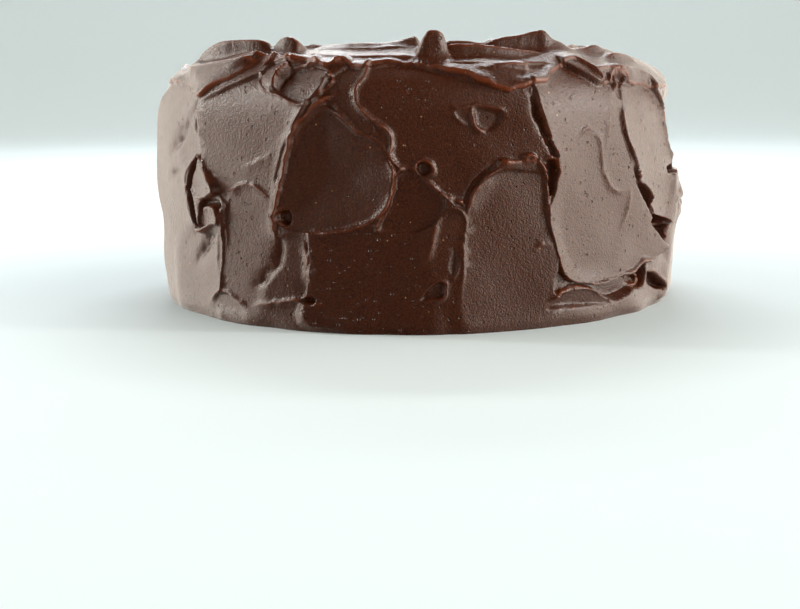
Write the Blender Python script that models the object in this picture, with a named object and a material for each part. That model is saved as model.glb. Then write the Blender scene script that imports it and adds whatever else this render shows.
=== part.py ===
"""A round layer cake under chocolate frosting that was spread and swirled with a knife.

The cake stands on its flat underside, centred on the origin, with the side that is seen first facing -Y.
Sizes are in millimetres. A place on the side is a turn in degrees from the front, counted towards +X, and a
height over the board. The climb is the way up the side and on over the shoulder. The mesh is made in metres at
the end.
"""

import math

import bmesh
import bpy
import numpy as np

# Driving dimensions
SIDE_RADIUS = 118.0
BASE_RADIUS = 114.0
TOP_HEIGHT = 111.8
SHOULDER_RISE = 27.8
FOOT_FLARE = 1.6
FOOT_RISE = 6.0

# How finely the frosting is worked, its narrowest ridge and edge, and its triangles when finished
MESH_STEP = 1.7
NARROWEST = 1.3
TRIANGLES = 11200

for thing in list(bpy.data.objects):
    bpy.data.objects.remove(thing)

MM = 0.001
ARC_PER_DEGREE = SIDE_RADIUS * math.pi / 180

FROSTING_COLOUR = (0.068, 0.016, 0.0048, 1.0)
FROSTING_ROUGHNESS = 0.4


def smooth(t):
    """Runs from 0 to 1 with no corner at either end."""
    t = np.clip(t, 0.0, 1.0)
    return t * t * (3.0 - 2.0 * t)


def curve_through(points, pieces):
    """A smooth line through the points, with so many pieces between two of them."""
    p = np.asarray(points, float)
    p = np.vstack([2 * p[0] - p[1], p, 2 * p[-1] - p[-2]])
    line = []
    for a, b, c, d in zip(p, p[1:], p[2:], p[3:]):
        for t in np.linspace(0, 1, pieces, endpoint=False):
            bend = 2 * a - 5 * b + 4 * c - d
            twist = 3 * b - a - 3 * c + d
            line.append(0.5 * (2 * b + (c - a) * t + bend * t**2 + twist * t**3))
    line.append(p[-2])
    return np.array(line)


def waves(seed, shortest, longest, count=12):
    """Random flat waves, each with a length between the two, in millimetres."""
    rng = np.random.default_rng(seed)
    way = rng.uniform(0, 2 * math.pi, count)
    length = shortest * (longest / shortest) ** rng.uniform(0, 1, count)
    return np.stack([np.cos(way) / length, np.sin(way) / length, rng.uniform(0, 1, count)], 1)


def ripple(x, y, flat_waves):
    """The sum of the waves at each place, mostly between -1 and 1."""
    total = np.zeros_like(x)
    for along_x, along_y, start in flat_waves:
        total += np.sin(2 * math.pi * (along_x * x + along_y * y + start))
    return total / (1.6 * math.sqrt(len(flat_waves) / 2))


HAND_WOBBLE = waves(3, 9, 40)
LIP_CHANGE = waves(7, 4, 14)


def along_line(line, x, y):
    """Each place's distance from a line, positive on its left, and how far along it is."""
    nearest = np.full(x.shape, 1e9)
    left = np.zeros_like(x)
    along = np.zeros_like(x)
    for i, (start, end) in enumerate(zip(line, line[1:])):
        run_x, run_y = end[:2] - start[:2]
        length = math.hypot(run_x, run_y) + 1e-9
        from_x = x - start[0]
        from_y = y - start[1]
        t = np.clip((from_x * run_x + from_y * run_y) / length**2, 0, 1)
        off = np.hypot(from_x - t * run_x, from_y - t * run_y)
        closer = off < nearest
        nearest[closer] = off[closer]
        along[closer] = i + t[closer]
        turned = run_x * from_y[closer] - run_y * from_x[closer]
        left[closer] = np.copysign(off[closer], turned)
    return left, along


def within(line, x, y):
    """Whether each place is inside a closed line."""
    inside = np.zeros(x.shape, bool)
    for start, end in zip(line, line[1:]):
        if start[1] != end[1]:
            crossed = (start[1] > y) != (end[1] > y)
            inside ^= crossed & (x < start[0] + (end[0] - start[0]) * (y - start[1]) / (end[1] - start[1]))
    return inside


class Frosting:
    """The height of the frosting over its turned shape, at places x and y on a flat map of it."""

    def __init__(self, x, y, height):
        self.x = x
        self.y = y
        self.height = height.copy()

    def near(self, line, margin):
        low = line[:, :2].min(0) - margin
        high = line[:, :2].max(0) + margin
        return (self.x > low[0]) & (self.x < high[0]) & (self.y > low[1]) & (self.y < high[1])

    def press(self, outline, floor, bowl=0.0, soft=0.5):
        """Flattens the frosting inside an outline to the floor, a height at each place. The middle lies lower
        by bowl, and the edge is blurred over soft, or over the third number of the outline's points."""
        line = curve_through([tuple(p) + (soft,) * (3 - len(p)) for p in [*outline, outline[0]]], 6)
        near = self.near(line, line[:, 2].max() + 3)
        x = self.x[near] + 0.35 * ripple(self.x[near] + 7, self.y[near], HAND_WOBBLE)
        y = self.y[near] + 0.35 * ripple(self.y[near], self.x[near] + 11, HAND_WOBBLE)
        left, along = along_line(line, x, y)
        depth_in = np.where(within(line, x, y), 1, -1) * np.abs(left)
        blur = np.interp(along, range(len(line)), np.clip(line[:, 2], 0.8 * NARROWEST, None))
        inside = smooth(0.5 + depth_in / (2 * blur))
        new = floor[near] - bowl * smooth(depth_in / depth_in.max(initial=1))
        self.height[near] += (new - self.height[near]) * inside

    def ridge(self, points, high=None, left=0.8, right=0.8, groove=0.0, groove_wide=1.4, taper=10):
        """Leaves a ridge along a curve, with its own width on each side. groove is a ditch on its left. It runs
        out at both ends. Without high, the points' third number is the height that it rises to."""
        left = max(left, NARROWEST)
        right = max(right, NARROWEST)
        line = curve_through(points, 8)
        near = self.near(line, 3 * max(left, right, groove_wide) + 2)
        x = self.x[near]
        y = self.y[near]
        off, along = along_line(line, x, y)
        pieces = len(line) - 1
        ends = min(taper, pieces / 2)
        strength = smooth(along / ends) * smooth((pieces - along) / ends)
        shape = np.exp(-np.abs(off / np.where(off > 0, left, right)) ** 1.6)
        if high is None:
            rise = np.clip(np.interp(along, range(len(line)), line[:, 2]) - self.height[near], 0, None) * shape
        else:
            rise = high * (1 + 0.2 * ripple(x + 9, y - 4, LIP_CHANGE)) * shape
        rise -= groove * smooth(off / left) * np.exp(-(((off - left - 0.5 * groove_wide) / groove_wide) ** 2))
        self.height[near] += strength * rise


# The turned shape of the frosted cake, from the foot to the middle of the top
profile = curve_through(
    [
        (BASE_RADIUS, 0),
        (SIDE_RADIUS - 1.6, 5),
        (SIDE_RADIUS - 0.7, 15),
        (SIDE_RADIUS, 35),
        (SIDE_RADIUS + 0.4, 55),
        (SIDE_RADIUS + 0.2, 72),
        (SIDE_RADIUS - 0.6, TOP_HEIGHT - SHOULDER_RISE),
        (SIDE_RADIUS - 2.6, TOP_HEIGHT - 20.3),
        (SIDE_RADIUS - 6, TOP_HEIGHT - 14.3),
        (SIDE_RADIUS - 11.5, TOP_HEIGHT - 9.5),
        (SIDE_RADIUS - 19, TOP_HEIGHT - 6),
        (SIDE_RADIUS - 30, TOP_HEIGHT - 3.2),
        (70, TOP_HEIGHT - 1.5),
        (40, TOP_HEIGHT - 0.4),
        (12, TOP_HEIGHT - 0.1),
        (0, TOP_HEIGHT),
    ],
    pieces=24,
)
profile_climb = np.concatenate([[0], np.cumsum(np.hypot(*np.diff(profile, axis=0).T))])


def steps_from_zero(end, step_at):
    """Values from 0 to end, each a step from the last."""
    values = [0.0]
    while values[-1] < end:
        values.append(values[-1] + step_at(values[-1]))
    return np.array(values) * end / values[-1]


# The mesh is finest at the front and on the side, and coarser behind and on the flat of the top
turn_step = MESH_STEP / ARC_PER_DEGREE
half_turn = steps_from_zero(180, lambda t: turn_step * (1 + 0.8 * float(smooth((t - 90) / 20))))
column_turn = np.radians(np.concatenate([-half_turn[:0:-1], half_turn]))
row_climb = steps_from_zero(profile_climb[-1], lambda c: MESH_STEP * (1 + 1.6 * float(smooth((c - 112) / 60))))
row_inset = np.concatenate([np.linspace(BASE_RADIUS, 12, 4), np.zeros(len(row_climb))])
row_climb = np.concatenate([np.zeros(4), row_climb])

sheet = bmesh.new()
bmesh.ops.create_grid(sheet, x_segments=len(column_turn) - 1, y_segments=len(row_climb) - 1, size=0.5)
worked_mesh = bpy.data.meshes.new("frosted_cake")
sheet.to_mesh(worked_mesh)
sheet.free()
flat = np.empty(len(worked_mesh.vertices) * 3)
worked_mesh.vertices.foreach_get("co", flat)
flat = flat.reshape(-1, 3) + 0.5
column = np.rint(flat[:, 0] * (len(column_turn) - 1)).astype(int)
turn = column_turn[column]
row = np.rint(flat[:, 1] * (len(row_climb) - 1)).astype(int)
climb = row_climb[row]
radius = np.interp(climb, profile_climb, profile[:, 0]) - row_inset[row]
height_at_rest = np.interp(climb, profile_climb, profile[:, 1])
points = np.stack([radius * np.sin(turn), -radius * np.cos(turn), height_at_rest], 1)
arc = turn * SIDE_RADIUS

# Slow lumps of the hand-spread coat, the same from every side
swell = 0.55 * ripple(points[:, 0] + 0.6 * points[:, 2], points[:, 1] + 0.3 * points[:, 2], waves(6, 30, 80))
swell += 0.55 * ripple(points[:, 0] - 0.5 * points[:, 2], points[:, 1] - 0.8 * points[:, 2], waves(16, 30, 80))

# Marks on the side, oldest first. Each overlies the ones before it. A mark is an outline of places, each a turn
# and a height, and a floor that is nearly flat and faces one way.
side = Frosting(arc, climb, swell)
slow_bend = 0.35 * swell + 0.05 * ripple(arc, climb, waves(41, 9, 30))


def on_side(places):
    climbs = np.interp([place[1] for place in places], profile[:, 1], profile_climb)
    return [(place[0] * ARC_PER_DEGREE, up, *place[2:]) for place, up in zip(places, climbs)]


def side_press(face, depth, outline, flat=0.85, up=0.0, **mark):
    """Presses a floor that faces a turn in degrees and is deepest there. up makes it rise with height."""
    away = np.clip(turn - math.radians(face), -0.7, 0.7)
    floor = depth + flat * SIDE_RADIUS * (1 / np.cos(away) - 1) + up * (climb - 55) / 10 + slow_bend
    side.press(on_side(outline), floor, **mark)


def side_ridge(high, places, **ridge):
    side.ridge(on_side(places), high, **ridge)


# Round the back: three courses of broad strokes, each a little different, with a lip along part of its edge
rng = np.random.default_rng(31)
for course_height, half_high in ((24, 24), (76, 21), (50, 21)):
    for stroke in range(9):
        middle = 84 + 192 * (stroke + rng.uniform(0.25, 0.75)) / 9
        middle_height = course_height + rng.uniform(-4, 4)
        half_wide = rng.uniform(9, 14)
        outline = []
        for spoke in range(8):
            a = spoke * math.pi / 4
            reach = rng.uniform(0.75, 1.2)
            stroke_height = min(max(middle_height + half_high * reach * math.sin(a), 1), 100)
            outline.append((middle + half_wide * reach * math.cos(a), stroke_height, rng.uniform(0.5, 3)))
        face = middle + rng.uniform(-6, 6)
        depth = rng.uniform(-1.6, -0.4)
        bowl = rng.uniform(0, 0.8)
        lip = rng.uniform(0.6, 1.5)
        first = rng.integers(0, 5)
        for full_turn in (0, 360):
            turned = [(place[0] - full_turn, *place[1:]) for place in outline]
            side_press(face - full_turn, depth, turned, flat=0.45, bowl=bowl)
            side_ridge(lip, [place[:2] for place in turned[first : first + 4]], left=1.6, right=0.7)

# Far left: broad flat strokes, with soft hollows between them
side_press(-88, -1.2, [(-104, 3, 6), (-74, 3, 6), (-72, 50, 6), (-73, 92, 5), (-104, 96, 6)], flat=0.3)
FAR_LEFT = [(-75, 0), (-76, 50), (-74, 91), (-64, 98), (-56, 98)]
FAR_LEFT += [(-51, 94), (-49.4, 84), (-48, 72), (-49, 66)]
side_press(-60, -1.5, FAR_LEFT + [(-54, 58, 3), (-54, 50, 3), (-52, 37, 3), (-46, 20, 3), (-50, 0)], soft=2)
side_press(
    -57, -1.6, [(-50, 90), (-52, 86, 2), (-57, 74, 3), (-56, 64, 4), (-53, 61), (-49, 68), (-48, 76)], soft=1
)
side_ridge(-1.5, [(-52.5, 85), (-56, 77), (-59, 72), (-65, 65)], left=1.6, right=3)
side_ridge(-0.9, [(-66, 57), (-61, 59), (-56, 58)], left=2, right=2)
side_ridge(1.3, [(-50.2, 90), (-49, 82), (-47.9, 74), (-47.9, 67)], left=1.4, right=0.6)
side_ridge(0.8, [(-50.8, 86), (-50.6, 80), (-50.6, 76)], left=0.6, right=0.8)

# Left: a wide field, then the pale folded strokes below it
PATCH_2 = [(-49.2, 88), (-46, 91), (-42, 94.5), (-38, 97.5), (-34, 100), (-30, 95), (-25, 92), (-20.8, 90)]
PATCH_2 += [(-23, 82), (-26, 72), (-28, 60), (-28.6, 52), (-33, 50)]
PATCH_2 += [(-40, 49), (-43, 53), (-46.5, 62), (-48, 70)]
side_press(-37, -1.3, PATCH_2, flat=0.9)
side_ridge(0.4, [(-38, 64.5), (-34, 65.5), (-30, 69), (-27, 74)], left=0.8, right=3)
LEFT_FOLD = [(-64, 0, 6), (-62, 28, 6), (-54, 37, 4), (-50, 36)]
LEFT_FOLD += [(-47, 38), (-43.5, 41), (-42.2, 34), (-43, 24)]
side_press(-53, -2.4, LEFT_FOLD + [(-44.5, 14), (-47, 0, 4)], flat=1.0)
side_ridge(-2.0, [(-43.8, 40), (-47, 34), (-51, 27), (-56, 20)], left=2.0, right=2.6)
side_ridge(0.5, [(-43.4, 41), (-43.6, 34), (-44.4, 26), (-45, 16)], left=0.9, right=2.4)

# The arched stroke left of the dish, and the soft columns beside it
ARCH_A = [(-40.3, 50), (-38.8, 54.5), (-36.5, 57), (-34, 57.2)]
ARCH_A += [(-31, 55.2), (-28.8, 51), (-28.4, 43), (-28, 36, 2)]
ARCH_A += [(-28.5, 26, 3), (-31, 18, 4), (-34, 3, 5), (-44, 3, 5), (-43.5, 16), (-42.3, 30), (-41.2, 42)]
side_press(-37, -1.5, ARCH_A)
side_ridge(
    1.1, [(-28.7, 50), (-31, 55), (-34, 57.4), (-36.8, 57.3), (-39, 54.6), (-40.4, 50.5)], left=2.2, right=0.6
)
side_ridge(0.8, [(-41, 50), (-42, 47), (-41.4, 43), (-41.2, 36), (-42.2, 27)], left=0.8, right=1.2)
side_press(
    -26, -1.0, [(-28, 37), (-22, 38.5), (-21.6, 25), (-22.3, 3, 5), (-34, 3, 5), (-29, 24, 3)], flat=0.2
)
side_ridge(-1.8, [(-27, 39), (-27.4, 32), (-29, 25), (-32, 19), (-36, 16)], left=1.4, right=3.2)
side_ridge(1.5, [(-22, 39.5), (-21.7, 32), (-21.6, 24), (-22, 16)], left=0.6, right=1.8)

# The low field in the middle, with a soft column on its right
LOW_FIELD = [(-21.2, 39.5), (-15, 40.3), (-10, 42.5), (-6.5, 41), (-2, 40)]
LOW_FIELD += [(1.5, 43), (3.6, 49), (6, 53), (8.6, 47)]
side_press(
    -6, -1.7, LOW_FIELD + [(8.8, 28), (8.6, 3, 5), (-21.4, 3, 5), (-21.6, 17), (-21, 28)], flat=0.7, up=-0.1
)
side_press(
    7,
    -0.9,
    [(3.4, 50, 1.5), (2.6, 38, 2), (2.4, 24, 3), (4, 3, 4), (8.4, 3, 4), (8.3, 28), (8.6, 46)],
    flat=0.2,
)
side_ridge(0.8, [(3.9, 51), (3.5, 45), (2.8, 38), (1.8, 31), (-1, 25)], left=1.2, right=3.5)
side_ridge(0.7, [(8.9, 47), (8.5, 36), (8.4, 22), (8.4, 3)], left=1.6, right=1.6)
side_ridge(-0.8, [(-17, 14), (-10, 17), (-5, 22), (-1.5, 30)], left=5, right=4)

# Under the rim: a pocket and a scoop beside it, the narrow field next to them, then the broad dark field
SCOOP = [(-27, 101.5), (-26.5, 95), (-23, 91.5), (-20.3, 91)]
SCOOP += [(-18, 95), (-16.7, 98.5), (-19, 101), (-23, 103)]
side_press(-33, -1.6, SCOOP)
POCKET = [(-33.2, 102), (-33, 98), (-31, 95.8), (-28.3, 94.5)]
POCKET += [(-27.4, 98), (-27, 101.5), (-29, 103.8), (-31.5, 104.5)]
side_press(-44, -3.2, POCKET)
side_ridge(
    1.2,
    [(-33.6, 103), (-33.6, 98.5), (-31.5, 95.2), (-28, 93), (-24, 90.6), (-20.5, 90.2)],
    left=0.5,
    right=0.8,
)
side_ridge(1.8, [(-24.5, 103.2), (-26.6, 102.2), (-27.4, 99), (-27, 94.5)], left=0.7, right=0.8)
side_ridge(
    3.0, [(-40.4, 98), (-39.4, 101.5), (-37, 103), (-33, 103.4), (-28, 103), (-23, 102.8)], left=3, right=1
)
side_ridge(
    2.0, [(-28, 101.6), (-24, 102.8), (-20, 103.4), (-16.6, 103.2), (-13.6, 104.4)], left=2.4, right=0.8
)
NARROW = [(-17.8, 98.5), (-13.3, 104), (-10.3, 102), (-11.6, 93)]
NARROW += [(-8.6, 84), (-8.6, 77), (-13.2, 84.5), (-18.6, 90.5)]
side_press(-20, -1.0, NARROW, flat=0.6)
BROAD = [(-10.2, 102), (-5, 104.3), (0, 104), (5, 101.8), (12, 97)]
BROAD += [(17, 95), (22, 96), (22.6, 90), (25, 77), (27, 68)]
BROAD += [(20, 67.5), (15, 66), (11.5, 58), (9, 49), (5, 54.5), (1, 60), (-2.5, 64.5), (-4.8, 71), (-4.8, 78)]
side_press(3, -1.6, BROAD + [(-8.6, 84.5), (-11.4, 90), (-11.4, 95)], flat=0.55, bowl=0.5)
S_RIDGE = [(-13, 104), (-10.2, 102.3), (-10.3, 99), (-11.7, 94)]
S_RIDGE += [(-11.5, 90), (-9, 84.6), (-6.4, 81), (-4.7, 77.5)]
side_ridge(1.3, S_RIDGE + [(-4.6, 73), (-5, 70), (-3.6, 66), (-2.6, 65)], left=0.7, right=1.3)
side_ridge(-1.3, [(22, 91), (22.6, 86), (23.8, 80), (25.6, 73)], left=1.3, right=2.5)
side_press(
    10, -2.6, [(10.7, 87.5), (14.6, 87), (15.6, 84), (14.6, 80), (12.4, 78.7), (10.8, 82)], flat=0.4, soft=1.2
)
side_ridge(1.5, [(13.6, 78), (12, 78.4), (10.6, 81), (10.2, 85), (10.6, 88.4)], left=0.7, right=1.1)
side_ridge(
    0.9, [(6.4, 89.5), (6.9, 88), (9, 87.8), (12, 88.4), (15, 86.8), (17.4, 84.8)], left=0.8, right=0.7
)
side_ridge(0.9, [(6.4, 88.5), (6.8, 85), (8, 82), (9.8, 80.2)], left=0.8, right=0.5)

# The deep egg-shaped dish with its thick left ridge, and the drop-shaped mark that it cuts
DROP = [(-4.6, 60), (-3.8, 63), (-1.6, 64.4), (0.6, 61.6), (4.8, 53.4)]
DROP += [(3.6, 46), (1, 41.5), (-3, 39.8), (-7.2, 41)]
side_press(-2, -2.6, DROP + [(-7, 45.5), (-5.4, 52)], flat=0.9)
side_ridge(0.9, [(0.4, 62.6), (-1.4, 64.8), (-3.2, 64.4), (-4.4, 61.5), (-4.9, 57)], left=0.6, right=1.0)
DISH = [(-18.6, 90), (-15.4, 87.2), (-12.6, 82.6), (-9.4, 77.4)]
DISH += [(-6.4, 73, 2), (-4.9, 66), (-4.8, 58), (-6.4, 50.5)]
DISH += [(-9.4, 45.2), (-14, 41.6), (-20, 40.2), (-25.6, 41)]
DISH += [(-28.1, 45), (-27.7, 54), (-26.2, 65), (-24.4, 75)]
side_press(-17, -1.4, DISH + [(-21.6, 84.6)], flat=1.0, bowl=2.4)
side_ridge(0.9, [(-6.2, 75), (-9.2, 77.4), (-12.4, 82.4), (-15.2, 87.2), (-18.4, 90)], left=0.9, right=0.7)
LIP = [(-23.5, 40.4), (-18, 40.2), (-13, 41.8), (-9, 45), (-6.3, 50), (-4.8, 57), (-4.9, 64), (-5.4, 69)]
side_ridge(1.7, LIP, left=4.0, right=0.6)
side_ridge(0.8, [(-6.2, 39.6), (-8, 40.9), (-7.6, 44), (-6.2, 48.5)], left=0.8, right=0.7)
LEFT_RIDGE = [(-16.4, 92.6), (-20, 90), (-22.8, 83), (-24.9, 76)]
LEFT_RIDGE += [(-26.4, 68), (-27.6, 58), (-28.4, 49), (-28.7, 41)]
side_ridge(2.3, LEFT_RIDGE + [(-28, 34)], left=0.8, right=3.2)
side_ridge(0.9, [(-19.4, 86.6), (-22, 81.6), (-24.2, 74), (-24.8, 69)], left=0.9, right=0.6)
side_ridge(1.4, [(-22.6, 103), (-19.5, 100.6), (-17.6, 97.6), (-19, 93), (-21, 89.4)], left=0.8, right=1.6)
side_ridge(0.8, [(-14.4, 88.4), (-13, 85.6), (-10.8, 81.4)], left=0.5, right=0.6)
side_ridge(1.5, [(-24.6, 42), (-27, 42.8), (-28.2, 45.6), (-27, 49), (-25.2, 48.6)], left=0.8, right=0.7)
side_press(-26, -3.0, [(-27.2, 47), (-25.4, 48), (-24.8, 45), (-25.4, 42.6), (-26.8, 43.6)], flat=0, soft=0.8)

# Where the drop meets the dark field: a burst bubble with its ring, and a ridge drawn down to the right
side_press(1, -3.4, [(0, 65.5), (0.8, 67), (2, 66), (2.3, 63.5), (1.2, 62.6), (0.2, 63.4)], flat=0, soft=0.7)
RING = [(1.2, 61.8), (2.6, 62.4), (2.8, 65), (1.6, 67.6), (0, 67.6), (-0.7, 65.2), (0.2, 62.8)]
side_ridge(1.6, RING, left=0.6, right=0.7)
side_ridge(
    1.3, [(0.6, 62), (2.4, 58.4), (4.6, 54.8), (7, 52.6), (8.6, 50.6), (9.2, 46.4)], left=0.8, right=1.0
)

# Right: the broad pale field and the stroke laid into it
RIGHT = [(22.4, 95.5), (25, 100.6), (28, 103.4), (31.5, 104.6), (35.5, 101)]
RIGHT += [(40, 96.4), (43, 97), (46.6, 90), (46, 79)]
RIGHT += [(49, 66), (52, 57), (58, 46), (63.6, 35), (63, 27)]
RIGHT += [(57, 21.6), (48, 18), (39, 16.4), (33, 17.6), (29.6, 23)]
RIGHT += [(28, 31), (26, 38.5), (25.4, 46), (27.2, 56), (27.4, 66), (25.6, 76), (23.8, 85)]
side_press(40, -2.2, RIGHT, flat=0.8)
LAID = [(32, 73, 1), (33.4, 76.6), (35.4, 78.4), (37.6, 76.6), (39, 72)]
LAID += [(39.6, 64), (41.4, 56), (44, 52.2), (48, 51)]
LAID += [(47.8, 42, 3), (46, 32, 5), (42, 22, 5), (34, 20, 4)]
LAID += [(29.5, 28, 4), (27.4, 42, 4), (29, 58, 5), (31, 68, 4)]
side_press(38, -2.8, LAID, flat=0.8, bowl=0.6)
side_ridge(0.9, [(32, 72.6), (33.2, 76.2), (35.2, 78.6), (37.6, 77.4)], left=0.7, right=0.7)
S_LINE = [(36.4, 78.6), (38.4, 75), (39.4, 69), (39.8, 62), (41.4, 56), (44, 52.2), (47.4, 50.6)]
side_ridge(0.55, S_LINE, left=1.2, right=1.2)
side_ridge(0.6, [(42.3, 95), (42.2, 86), (41.2, 76), (40.4, 68)], left=1.0, right=2.0)
side_ridge(0.6, [(48.2, 56), (48.2, 48), (47.2, 40), (45.6, 34)], left=0.8, right=1.6)
LEFT_EDGE = [(27.4, 62), (26.9, 69), (25.5, 75), (24.4, 81), (23.2, 88), (22.2, 95.4)]
side_ridge(1.0, LEFT_EDGE, left=0.5, right=2.4, groove=2.6, groove_wide=1.5)
LOWER_EDGE = [(45, 16.6), (39, 15.9), (34, 16.8), (30.4, 20.6)]
LOWER_EDGE += [(28.8, 26.6), (27.6, 32), (25.9, 38), (25.3, 44)]
side_ridge(1.0, LOWER_EDGE[::-1], left=2.6, right=0.5, groove=0)
side_press(
    30, -3.4, [(27.6, 28), (29.4, 22), (33, 17.4), (37, 15.6), (31, 14.6), (28, 14), (27.2, 20)], soft=0.9
)
side_press(
    38, -1.8, [(33, 17), (40, 15), (48, 17), (52, 13), (46, 8), (41.6, 10), (37, 14.4)], up=1.2, soft=0.8
)

# The arched stroke with its rough crest, and the hooded hollow at its right shoulder
ARCH_D = [(9.2, 46), (10.2, 53), (12.4, 59), (15.4, 62.6), (20, 63)]
ARCH_D += [(24, 61.6), (24.9, 57), (25.3, 48), (25.8, 40)]
ARCH_D += [(27.4, 33), (28.2, 25), (27, 18), (26.6, 3, 5), (8.8, 3, 5), (8.5, 28)]
side_press(17, -1.9, ARCH_D)
side_ridge(1.6, [(9, 46), (9.8, 51.5), (11.6, 57.6), (13.6, 62), (16, 65.4)], left=0.6, right=2.6, groove=1.0)
side_ridge(2.0, [(13.6, 63), (16, 65.8), (19, 66.2), (22, 66.4), (24.6, 64)], left=0.9, right=2.4)
side_ridge(1.6, [(14.6, 65.6), (15.8, 66.4), (17.8, 66.6)], left=0.8, right=1.2, taper=6)
side_ridge(2.4, [(19.6, 66.2), (20.6, 68.2), (21.6, 67.6), (22.4, 66)], left=0.9, right=1.4, taper=6)
side_ridge(2.0, [(22.4, 67), (23.2, 66.4), (24, 63.6), (24.4, 62)], left=0.9, right=1.4, taper=6)
side_ridge(1.0, [(24, 65), (24.9, 60), (25.2, 53), (25.3, 46), (25.6, 41)], left=0.7, right=0.9)
side_ridge(0.7, [(22.4, 31), (24, 33.6), (25.6, 34), (27.4, 33)], left=0.8, right=0.8)
side_press(
    24, -4.0, [(25, 66.4), (26.2, 66.8), (27, 63.6), (27, 58), (26.5, 53), (25.6, 55), (25.2, 61)], soft=0.6
)
side_ridge(1.9, [(23.8, 66.6), (25.4, 68.4), (27, 66.6), (27.6, 62.6), (27.3, 57)], left=0.9, right=0.6)

# The square hood under the right rim, and the strokes at the far right with the deep slots between them
side_press(
    44, -4.4, [(43, 98.6), (46.6, 98.6), (47, 94), (46.2, 90.8), (44.4, 90), (43, 92.4)], soft=0.6, flat=0.3
)
side_ridge(
    1.7,
    [(42.2, 92), (42.5, 98.6), (44.8, 100.3), (47.3, 98.8), (47.5, 94), (46.8, 90.4)],
    left=0.8,
    right=0.6,
)
FAR_RIGHT = [(46.6, 91), (45.8, 83), (46.6, 75), (49.8, 64.6), (52.4, 57)]
FAR_RIGHT += [(57, 49.6), (60, 41.8), (63.8, 35), (64, 28)]
FAR_RIGHT += [(67, 20, 4), (71, 36, 6), (69, 56), (64.4, 64)]
FAR_RIGHT += [(60.6, 71.4), (58.4, 79.6), (56.6, 88), (52.6, 96.6)]
side_press(59, -1.2, FAR_RIGHT + [(49, 96.6)], flat=0.9)
SLOT_EDGE = [(62.6, 34), (61, 40), (58, 46.6), (54.4, 52.6), (51.4, 58.6), (49.4, 64.4)]
side_ridge(0.9, SLOT_EDGE, left=0.5, right=2.4, groove=3.0, groove_wide=1.3)
side_ridge(
    0.7,
    [(50, 62), (48.2, 68), (46.6, 75), (45.9, 82), (46.4, 90)],
    left=0.5,
    right=1.8,
    groove=0.9,
    groove_wide=0.8,
)
side_press(
    56, -5.5, [(50, 56), (53, 53.4), (57.6, 46.6), (60.4, 40), (60, 36.4), (57, 38), (53.6, 47)], soft=0.9
)
side_press(60, -3.0, [(56, 38), (60, 36), (63.4, 34), (63, 28), (60, 31)], soft=2)
side_press(
    84,
    1.8,
    [(64, 4, 3), (67, 22, 5), (70, 38, 6), (71, 56), (80, 57), (98, 54, 3), (104, 26, 6), (100, 4, 6)],
    flat=0.1,
)
side_ridge(2.6, [(80, 32), (77, 40), (76, 48), (78, 57)], left=9, right=9)
FAR_EDGE = [(71, 59), (66, 64, 2), (62, 74, 1), (59.6, 84, 1), (60, 91), (70, 90, 3), (98, 88, 6), (104, 76, 6)]
side_press(84, -4.0, FAR_EDGE + [(98, 58, 4)], flat=0.25)
side_press(
    62,
    -4.0,
    [(57.4, 89), (59, 88), (61.4, 80), (65, 71.6), (69.4, 64.6), (69.4, 61.8), (64, 65.4), (59.4, 78)],
    soft=0.7,
)
side_ridge(1.4, [(70.4, 60.6), (65, 64), (61, 70.6), (58.6, 79), (56.6, 88.6)], left=1.8, right=0.7)
side_ridge(1.2, [(60.6, 92), (62, 84), (66, 74), (71, 66)], left=1.6, right=0.7)
side_press(70, -3.0, [(67.6, 58.6), (70, 59.4), (73, 57.4), (71, 56), (68.6, 56.4)], soft=0.6)

# Torn folds at the left: a deep slot, a folded flap over it, and a hooked curl under the flap
SLOT = [(-50.2, 68), (-52.6, 63), (-54.2, 58), (-54, 51)]
SLOT += [(-53.2, 44), (-51.6, 39.6), (-50, 38.4), (-50.6, 44)]
side_press(-56, -5.0, SLOT + [(-51.6, 50), (-53, 54), (-52.2, 59), (-50.6, 64)], flat=0.4, soft=0.6)
FLAP = [(-48.6, 66.4), (-50.8, 62), (-52.7, 56), (-52.2, 53)]
FLAP += [(-49.6, 50.6), (-47, 50.4), (-42.6, 53.8), (-45, 60)]
side_press(-62, -3.0, FLAP, flat=1.0)
side_ridge(
    1.2, [(-42.2, 53.6), (-44.4, 58.4), (-46.6, 62.6), (-48.8, 67.4), (-50.6, 68.6)], left=1.0, right=0.7
)
side_ridge(
    0.9, [(-50.4, 68.8), (-53, 64), (-55.2, 59.4), (-55, 53), (-54.2, 45), (-52.4, 38.6)], left=0.6, right=1.6
)
side_ridge(0.9, [(-53.2, 54), (-50, 50.8), (-47, 50.4), (-44.6, 52), (-42.6, 53.4)], left=0.9, right=0.6)
side_press(
    -60,
    -3.2,
    [(-49.4, 38.6), (-49, 44), (-47, 46.4), (-43.4, 47), (-42, 44), (-42.4, 40.4), (-45, 40)],
    flat=1.0,
)
side_press(
    -47, -2.8, [(-48.8, 44), (-48.4, 48.6), (-43.6, 50), (-42.2, 47.6), (-44.6, 48), (-47.4, 46.8)], soft=0.7
)
side_ridge(1.0, [(-52.2, 38.8), (-50, 37), (-47, 38.2), (-44, 41.2)], left=0.7, right=1.8)
side_ridge(
    0.8, [(-48.4, 43), (-47.6, 46.2), (-45, 47.6), (-42.6, 46), (-41.6, 42), (-41.8, 38)], left=0.6, right=0.9
)

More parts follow.
